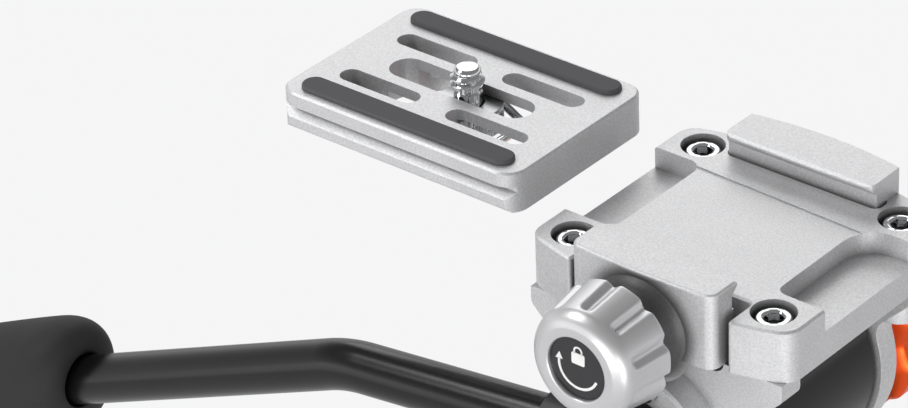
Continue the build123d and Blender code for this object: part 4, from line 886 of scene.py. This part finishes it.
class HEAD_OT_knobs(bpy.types.Operator):
    """Turn the three hand knobs and press their hollows in"""

    bl_idname = "head.knobs"
    bl_label = "Hand Knobs"

    def execute(self, context):
        knobs = context.scene.head_knobs
        tree = hollows_tree()
        self.clamp_knob(knobs, tree)
        self.tilt_lock_knob(knobs, tree)
        self.pan_lock_knob(knobs, tree)
        return {"FINISHED"}

    def clamp_knob(self, knobs, tree):
        low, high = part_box("clamp_knob")
        radius = (high.x - low.x) / 2
        thick = high.y - low.y
        bore = 2.6 * mm
        corner = 0.5 * mm
        lip = 0.35 * mm
        # Distances run from the knob's face towards the jaw
        profile = [(bore, knobs.dish_depth), (knobs.dish_radius, knobs.dish_depth)]
        profile += arc_profile((knobs.dish_radius + lip, lip), lip, 180, 270, 4)
        profile += arc_profile((knobs.face_radius - corner, corner), corner, 270, 300, 3)
        face = (knobs.face_radius, 0.5 * lip)
        waist = (knobs.shoulder_radius, knobs.shoulder)
        for i in range(1, 12):
            share = i / 12
            swell = 4 * share * (1 - share) * knobs.shoulder_bulge
            profile.append((
                face[0] + (waist[0] - face[0]) * share + 0.7 * swell, face[1] + (waist[1] - face[1]) * share - 0.7 * swell
            ))
        profile += [waist] + straight_profile(waist, (radius, thick - corner), 46)
        profile += arc_profile((radius - corner, thick - corner), corner, 0, 90, 4)
        profile += [(bore, thick), (bore, knobs.dish_depth)]
        origin = Vector((0, low.y, (low.z + high.z) / 2))
        plain = turned_mesh("clamp_knob_turned", profile, origin, Vector((0, 1, 0)), 240)
        mesh = grown_mesh(tree, {
            "Count": knobs.flutes, "Depth": knobs.flute_depth, "Half Width": knobs.flute_half,
            "First": knobs.flute_turn, "Axis Height": origin.z,
            "Start": low.y + knobs.flute_start, "Start Fade": knobs.flute_fade,
            "End": high.y + thick, "End Fade": thick,
            "Least Radius": knobs.face_radius, "Material": finish("turned_anodised_aluminium"),
        }, plain)
        stand_for(add_piece("clamp_knob_fluted", mesh, "turned_anodised_aluminium"), "clamp_knob")

    def tilt_lock_knob(self, knobs, tree):
        low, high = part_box("tilt_lock_knob")
        cap_low, cap_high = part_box("tilt_lock_cap")
        radius = 21.4 * mm
        thick = high.y - low.y
        root = 15.0 * mm
        slope = 3.4 * mm
        corner = 1.6 * mm
        dish = (cap_high.x - cap_low.x) / 2
        dish_depth = high.y - cap_low.y
        lip = 0.5 * mm
        profile = [(0, 0), (4.05 * mm, 0)] + straight_profile((4.05 * mm, 0), (root, 0), 6)
        profile += [(root, 0)] + straight_profile((root, 0), (radius, slope), 8)
        profile += arc_profile((radius - lip, slope + lip), lip, 320, 360, 3)
        profile += straight_profile((radius, slope + lip), (radius, thick - corner), 20)
        profile += arc_profile((radius - corner, thick - corner), corner, 0, 90, 8)
        profile += straight_profile((radius - corner, thick), (dish + lip, thick), 6)
        profile += arc_profile((dish + lip, thick - lip), lip, 90, 180, 4)
        profile += [(dish, thick - dish_depth), (0, thick - dish_depth)]
        origin = Vector((0, low.y, (low.z + high.z) / 2))
        plain = turned_mesh("tilt_lock_turned", profile, origin, Vector((0, 1, 0)), 288)
        mesh = grown_mesh(tree, {
            "Count": knobs.lobes, "Depth": knobs.lobe_depth, "Half Width": knobs.lobe_half, "First": 0.0,
            "Axis Height": origin.z, "Start": low.y - thick, "Start Fade": thick / 2,
            "End": high.y + thick, "End Fade": thick / 2,
            "Least Radius": root + 0.5 * mm, "Material": finish("orange_anodised_aluminium"),
        }, plain)
        stand_for(add_piece("tilt_lock_lobed", mesh, "orange_anodised_aluminium"), "tilt_lock_knob")

    def pan_lock_knob(self, knobs, tree):
        low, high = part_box("pan_lock_knob")
        radius = (high.z - low.z) / 2
        thick = high.y - low.y
        bore = 2.55 * mm
        bore_depth = 6.0 * mm
        corner = 0.9 * mm
        profile = [(0, bore_depth), (bore, bore_depth), (bore, 0)]
        profile += straight_profile((bore, 0), (radius - corner, 0), 4)
        profile += arc_profile((radius - corner, corner), corner, 270, 360, 6)
        profile += straight_profile((radius, corner), (radius, thick - corner), 10)
        profile += arc_profile((radius - corner, thick - corner), corner, 0, 90, 6)
        profile += straight_profile((radius - corner, thick), (0, thick), 6) + [(0, thick)]
        origin = Vector((0, low.y, (low.z + high.z) / 2))
        plain = turned_mesh("pan_lock_turned", profile, origin, Vector((0, 1, 0)), 180)
        mesh = grown_mesh(tree, {
            "Count": knobs.pan_lobes, "Depth": knobs.pan_lobe_depth, "Half Width": knobs.pan_lobe_half, "First": 0.0,
            "Axis Height": origin.z, "Start": low.y - thick, "Start Fade": thick / 2,
            "End": high.y + thick, "End Fade": thick / 2,
            "Least Radius": 4.0 * mm, "Material": finish("black_powder_coat"),
        }, plain)
        stand_for(add_piece("pan_lock_lobed", mesh, "black_powder_coat"), "pan_lock_knob")


def tube_route(handle):
    """Where the tube starts and bends, and the way that it goes on from there."""
    start = Vector(handle.start)
    first = Vector((-cos(handle.first_drop), 0, -sin(handle.first_drop)))
    second = Vector((-cos(handle.second_drop), 0, -sin(handle.second_drop)))
    return start, start + first * ((handle.bend_x + start.x) / cos(handle.first_drop)), second


class HEAD_OT_handle(bpy.types.Operator):
    """Skin the handle's bent tube along its path"""

    bl_idname = "head.handle"
    bl_label = "Handle Tube"

    def execute(self, context):
        handle = context.scene.head_handle
        start, bend, second = tube_route(handle)
        path = bpy.data.meshes.new("tube_path")
        path.from_pydata([start, bend, bend + second * handle.after_bend], [(0, 1), (1, 2)], [])
        mesh = grown_mesh(tube_tree(), {
            "Bend Radius": handle.bend_radius, "Bend Steps": 24, "Tube Radius": handle.radius, "Sides": 64,
            "Material": finish("satin_black_lacquer"),
        }, path)
        stand_for(add_piece("bent_tube", mesh, "satin_black_lacquer"), "handle_tube")
        return {"FINISHED"}


class HEAD_OT_grip(bpy.types.Operator):
    """Turn the handle's rubber grip and the plug in its end"""

    bl_idname = "head.grip"
    bl_label = "Grip"

    def execute(self, context):
        handle = context.scene.head_handle
        start, bend, second = tube_route(handle)
        origin = bend + second * handle.grip_start
        long = handle.grip_length
        bore = handle.radius + 0.05 * mm
        lip = 0.7 * mm
        mouth = handle.mouth_radius
        plug = 8.0 * mm
        plug_sunk = 1.2 * mm
        profile = [(bore, handle.mouth_depth + 4 * mm), (bore, handle.mouth_depth), (mouth, handle.mouth_depth)]
        profile += arc_profile((mouth + lip, lip), lip, 180, 250, 6)
        swell = handle.grip_radius - mouth - lip
        for i in range(1, 25):
            angle = pi / 2 * i / 24
            profile.append((
                mouth + lip + swell * sin(angle) ** 0.9, handle.dome_length * (1 - cos(angle) ** 0.9)
            ))
        stops = ((handle.dome_length, handle.grip_radius), (0.45 * long, handle.waist_radius),
                 (long - handle.tail_length, handle.tail_radius))
        for (near, near_radius), (far, far_radius) in zip(stops, stops[1:]):
            for i in range(1, 17):
                share = i / 16
                ease = share * share * (3 - 2 * share)
                profile.append((near_radius + (far_radius - near_radius) * ease, near + (far - near) * share))
        for i in range(1, 13):
            angle = pi / 2 * i / 12
            profile.append((
                plug + (handle.tail_radius - plug) * cos(angle), long - handle.tail_length * (1 - sin(angle))
            ))
        profile += [(plug, long - plug_sunk - 2 * mm), (bore, long - plug_sunk - 2 * mm)]
        profile.append((bore, handle.mouth_depth + 4 * mm))
        mesh = turned_mesh("rubber_grip", profile, origin, second, 96)
        stand_for(add_piece("rubber_grip", mesh, "moulded_grip_rubber"), "handle_grip")
        edge = 0.4 * mm
        end = long - plug_sunk
        profile = [(0, end - 1.9 * mm), (plug - 0.1 * mm, end - 1.9 * mm)]
        profile += arc_profile((plug - 0.1 * mm - edge, end - edge), edge, 0, 90, 4)
        profile += [(0.62 * plug, end), (0.6 * plug, end - 0.3 * mm), (0, end - 0.3 * mm)]
        mesh = turned_mesh("moulded_plug", profile, origin, second, 96)
        stand_for(add_piece("moulded_plug", mesh, "black_powder_coat"), "grip_plug")
        return {"FINISHED"}


class HEAD_OT_fasteners(bpy.types.Operator):
    """Set the socket screws, the camera screw and its washer"""

    bl_idname = "head.fasteners"
    bl_label = "Fasteners"

    def execute(self, context):
        sizes = context.scene.head_fasteners
        self.socket_screws(sizes)
        self.camera_screw(sizes)
        return {"FINISHED"}

    def socket_screws(self, sizes):
        low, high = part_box("platform_screws")
        head, shank, edge = sizes.head_radius, sizes.shank_radius, sizes.head_round
        top = sizes.head_height
        socket = hexagon(sizes.hex_flats)
        profile = [(0, -9 * mm), (0.8 * shank, -9 * mm), (shank, -8.6 * mm), (shank, 0)]
        profile += [(head - 0.25 * mm, 0), (head, 0.25 * mm)]
        profile += arc_profile((head - edge, top - edge), edge, 0, 90, 8)
        profile += [(0.66 * sizes.hex_flats, top), (socket, top - 0.3 * mm)]
        profile += [(socket, top - sizes.hex_depth), (0, top - sizes.hex_depth - 0.4 * mm)]
        screw = turned_mesh("socket_screw", profile, Vector(), Vector((0, 0, 1)), 60, up=Vector((0, 1, 0)))
        mesh = grown_mesh(screws_tree(), {
            "Half X": sizes.half_x, "Half Y": sizes.half_y, "Height": high.z - top,
            "Seed": sizes.turn_seed, "Material": finish("polished_chrome"),
        }, screw)
        stand_for(add_piece("socket_screws", mesh, "polished_chrome"), "platform_screws")

    def camera_screw(self, sizes):
        """The screw of the frame with a thread in place of its plain shank, and a head that meets the web."""
        low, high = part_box("camera_screw")
        plate_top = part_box("plate_body")[1].z
        washer_low, washer_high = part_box("slide_washer")
        centre = Vector(((low.x + high.x) / 2, (low.y + high.y) / 2, 0))
        top = plate_top + sizes.thread_proud

        def reshape(work):
            for vert in work.verts:
                out = Vector((vert.co.x - centre.x, vert.co.y - centre.y))
                if vert.co.z > plate_top + 0.1 * mm:
                    out = out.normalized() * sizes.thread_root
                    vert.co.z = plate_top + 0.6 * mm if vert.co.z < plate_top + 2 * mm else top - 1.0 * mm
                    vert.co.x, vert.co.y = centre.x + out.x, centre.y + out.y
                elif abs(vert.co.z - washer_low.z) < 0.3 * mm and vert.co.z < washer_low.z:
                    vert.co.z += WEB_LIFT

        body = rounded_node("camera_screw", "camera_screw_turned", 0.12 * mm, "polished_chrome", 2, reshape)
        edge = 0.9 * mm
        tip_radius = sizes.thread_root - 0.05 * mm
        tip = [(0, top - 2 * mm), (tip_radius, top - 2 * mm)]
        tip += arc_profile((tip_radius - edge, top - edge), edge, 0, 80, 8) + [(0, top)]
        meshes = [
            turned_mesh("screw_tip", tip, centre, Vector((0, 0, 1)), 64, up=Vector((0, 1, 0))),
            thread_mesh(
                "screw_thread", centre, sizes.thread_root, sizes.thread_radius, sizes.thread_pitch,
                plate_top + 0.9 * mm, top - 1.3 * mm,
            ),
        ]
        for mesh in meshes:
            mesh.materials.append(finish("polished_chrome"))
        body.data = joined("camera_screw_turned", [body.data] + meshes)
        body.data.materials.append(finish("polished_chrome"))
        body.data.polygons.foreach_set("use_smooth", [True] * len(body.data.polygons))
        body.data.set_sharp_from_angle(angle=radians(35))

        def lift(work):
            for vert in work.verts:
                vert.co.z += WEB_LIFT

        rounded_node("slide_washer", "washer_raised", 0.05 * mm, "stainless_steel", 2, lift)


class HEAD_OT_marks(bpy.types.Operator):
    """Print the turning arrow and the padlock on the clamp knob and the ticks on the pan scale"""

    bl_idname = "head.marks"
    bl_label = "Marks"

    def execute(self, context):
        low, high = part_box("knob_face_disc")
        x, z = (low.x + high.x) / 2, (low.z + high.z) / 2
        front, back = low.y - 0.06 * mm, low.y + 0.02 * mm
        work = bmesh.new()
        reach, half = 4.0 * mm, 0.24 * mm
        first, last = radians(172), radians(338)
        steps = 40
        angles = [first + (last - first) * i / steps for i in range(steps + 1)]
        outline = [(x + (reach + half) * cos(a), z + (reach + half) * sin(a)) for a in angles]
        outline += [(x + (reach - half) * cos(a), z + (reach - half) * sin(a)) for a in reversed(angles)]
        prism(work, outline, front, back)
        # The head of the arrow points up the left side
        head = [(-reach - 0.75 * mm, 0.4 * mm), (-reach + 0.75 * mm, 0.5 * mm), (-reach + 0.1 * mm, 1.8 * mm)]
        prism(work, [(x + dx, z + dz) for dx, dz in head], front, back)
        lock_z = z + 1.7 * mm
        wide, tall, corner = 1.35 * mm, 1.1 * mm, 0.3 * mm
        body = []
        for side_x, side_z, start in ((1, 1, 0), (-1, 1, 90), (-1, -1, 180), (1, -1, 270)):
            for dx, dz in arc_profile((side_x * (wide - corner), side_z * (tall - corner)), corner, start, start + 90, 4):
                body.append((x + dx, lock_z + dz))
        prism(work, body, front, back)
        shackle = arc_profile((0, 0), 0.95 * mm, 0, 180, 16) + arc_profile((0, 0), 0.6 * mm, 180, 0, 16)
        prism(work, [(x + dx, lock_z + tall + 0.35 * mm + dz) for dx, dz in shackle], front, back)
        for side in (-1, 1):
            leg = ((side * 0.6, -0.45), (side * 0.95, -0.45), (side * 0.95, 0.05), (side * 0.6, 0.05))
            prism(work, [(x + dx * mm, lock_z + tall + (0.35 + dz) * mm) for dx, dz in leg], front, back)
        bmesh.ops.recalc_face_normals(work, faces=work.faces)
        mesh = bpy.data.meshes.new("turn_to_lock_mark")
        work.to_mesh(mesh)
        work.free()
        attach(add_piece("turn_to_lock_mark", mesh, "printed_white_ink"), body_of["knob_face_disc"])

        low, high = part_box("pan_scale_ring")
        mesh = grown_mesh(ticks_tree(), {
            "Count": 72, "Radius": (high.x - low.x) / 2, "Height": (low.z + high.z) / 2, "Tick": 1.3 * mm,
            "Width": 0.25 * mm, "Thickness": 0.06 * mm, "Material": finish("printed_white_ink"),
        })
        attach(add_piece("pan_scale_ticks", mesh, "printed_white_ink"), body_of["pan_scale_ring"])
        return {"FINISHED"}


class HEAD_OT_stage(bpy.types.Operator):
    """Lay the floor and set the air, the lamps and the camera"""

    bl_idname = "head.stage"
    bl_label = "Stage"

    def execute(self, context):
        stage = context.scene.head_stage
        self.floor(stage)
        self.air(context, stage)
        for name, (place, size, power) in LAMPS.items():
            self.lamp(name, place, size, power)
        self.camera(context, stage)
        context.scene.view_settings.view_transform = "Standard"
        return {"FINISHED"}

    def floor(self, stage):
        half = stage.floor_half
        mesh = bpy.data.meshes.new("floor")
        mesh.from_pydata(
            [(x, y, stage.floor_z) for x, y in ((-half, -half), (half, -half), (half, half), (-half, half))],
            [], [(0, 1, 2, 3)],
        )
        floor = bpy.data.objects.new("floor", mesh)
        bpy.context.scene.collection.objects.link(floor)
        material, tree, place = start_material("matt_paper")
        fibres = noise(tree, place, 4.0)
        paper = add_node(tree, "ShaderNodeBsdfPrincipled", {
            "Base Color": tinted(tree, fibres, linear("#D8D8D9"), 0.005), "Roughness": 0.9, "Specular IOR Level": 0.1,
        })
        glow = add_node(tree, "ShaderNodeEmission", {"Color": stage.backdrop, "Strength": 1.0})
        rays = add_node(tree, "ShaderNodeLightPath").outputs
        seen = math_node(tree, "MULTIPLY_ADD", rays["Is Camera Ray"], 0.97, math_node(
            tree, "MULTIPLY", math_node(tree, "MAXIMUM", rays["Is Glossy Ray"], rays["Is Transmission Ray"]),
            stage.mirrored_floor,
        ))
        mixed = add_node(tree, "ShaderNodeMixShader", {0: seen, 1: paper.outputs[0], 2: glow.outputs[0]})
        add_node(tree, "ShaderNodeOutputMaterial", {"Surface": mixed.outputs[0]})
        mesh.materials.append(material)

    def air(self, context, stage):
        world = bpy.data.worlds.new("studio_air")
        world.use_nodes = True
        tree = world.node_tree
        tree.nodes.clear()
        rays = add_node(tree, "ShaderNodeLightPath").outputs
        way = add_node(tree, "ShaderNodeTexCoord").outputs["Generated"]
        height = add_node(tree, "ShaderNodeSeparateXYZ", {0: way}).outputs["Z"]
        climb = add_node(tree, "ShaderNodeMapRange", {
            "Value": height, "From Min": 0.05, "From Max": 0.5,
            "To Min": stage.horizon_light, "To Max": stage.zenith_light,
        }, interpolation_type="SMOOTHSTEP").outputs[0]
        lit = add_node(tree, "ShaderNodeBackground", {"Color": stage.backdrop, "Strength": climb})
        seen = add_node(tree, "ShaderNodeBackground", {"Color": stage.backdrop, "Strength": 1.0})
        mixed = add_node(tree, "ShaderNodeMixShader", {
            0: rays["Is Camera Ray"], 1: lit.outputs[0], 2: seen.outputs[0],
        })
        add_node(tree, "ShaderNodeOutputWorld", {"Surface": mixed.outputs[0]})
        context.scene.world = world

    def lamp(self, name, place, size, power):
        """A rectangular softbox that faces the head."""
        light = bpy.data.lights.new(name, "AREA")
        light.shape = "RECTANGLE"
        light.size, light.size_y = size
        light.energy = power
        lamp = bpy.data.objects.new(name, light)
        bpy.context.scene.collection.objects.link(lamp)
        middle = Vector((-0.03, 0, 0.06))
        lamp.location = place
        lamp.rotation_euler = (middle - Vector(place)).to_track_quat("-Z", "Y").to_euler()

    def camera(self, context, stage):
        forward = Vector((
            -sin(stage.azimuth) * cos(stage.elevation),
            cos(stage.azimuth) * cos(stage.elevation),
            -sin(stage.elevation),
        ))
        level = Vector((cos(stage.azimuth), sin(stage.azimuth), 0))
        down = forward.cross(level)
        right = cos(stage.roll) * level + sin(stage.roll) * down
        up = sin(stage.roll) * level - cos(stage.roll) * down
        lens = bpy.data.cameras.new("photo_camera")
        lens.sensor_width = 36
        lens.lens = stage.focal_length
        lens.clip_start = 0.01
        camera = bpy.data.objects.new("photo_camera", lens)
        context.scene.collection.objects.link(camera)
        camera.matrix_world = Matrix.Translation(stage.camera_place) @ Matrix((right, up, -forward)).transposed().to_4x4()
        context.scene.camera = camera


# Softboxes: place and size in metres, and power in watts
LAMPS = {
    "key_softbox": ((-0.75, 0.875, 0.85), (0.9, 0.9), 4.6),
    "streak_softbox": ((-0.67, -0.29, 0.96), (0.35, 0.35), 3.2),
    "edge_softbox": ((-0.67, -0.62, 0.78), (0.22, 0.22), 1.6),
    "front_left_fill": ((-0.95, -1.15, -0.02), (0.9, 0.56), 1.3),
    "front_fill": ((0.15, -1.25, -0.02), (0.8, 0.5), 3.8),
    "corner_softbox": ((0.95, -0.8, -0.08), (0.4, 0.4), 4.6),
}

OPERATORS = (
    HEAD_OT_finishes,
    HEAD_OT_castings,
    HEAD_OT_plate,
    HEAD_OT_knobs,
    HEAD_OT_handle,
    HEAD_OT_grip,
    HEAD_OT_fasteners,
    HEAD_OT_marks,
    HEAD_OT_stage,
)


class HEAD_PT_panel(bpy.types.Panel):
    """Lists the steps and their sizes"""

    bl_idname = "HEAD_PT_panel"
    bl_label = "Video Head"
    bl_space_type = "VIEW_3D"
    bl_region_type = "UI"
    bl_category = "Video Head"

    def draw(self, context):
        for operator in OPERATORS:
            self.layout.operator(operator.bl_idname)
        for pointer, group in GROUPS.items():
            box = self.layout.box()
            box.label(text=group.__doc__)
            for name in group.__annotations__:
                box.prop(getattr(context.scene, pointer), name)


def register():
    for group in GROUPS.values():
        bpy.utils.register_class(group)
    for operator in OPERATORS:
        bpy.utils.register_class(operator)
    bpy.utils.register_class(HEAD_PT_panel)
    for pointer, group in GROUPS.items():
        setattr(bpy.types.Scene, pointer, bpy.props.PointerProperty(type=group))


def unregister():
    for pointer in GROUPS:
        delattr(bpy.types.Scene, pointer)
    bpy.utils.unregister_class(HEAD_PT_panel)
    for kind in (*reversed(OPERATORS), *reversed(GROUPS.values())):
        bpy.utils.unregister_class(kind)


def main():
    register()
    bpy.ops.head.finishes()
    bpy.ops.head.castings()
    bpy.ops.head.plate()
    bpy.ops.head.knobs()
    bpy.ops.head.handle()
    bpy.ops.head.grip()
    bpy.ops.head.fasteners()
    bpy.ops.head.marks()
    bpy.ops.head.stage()


if __name__ == "__main__":
    main()
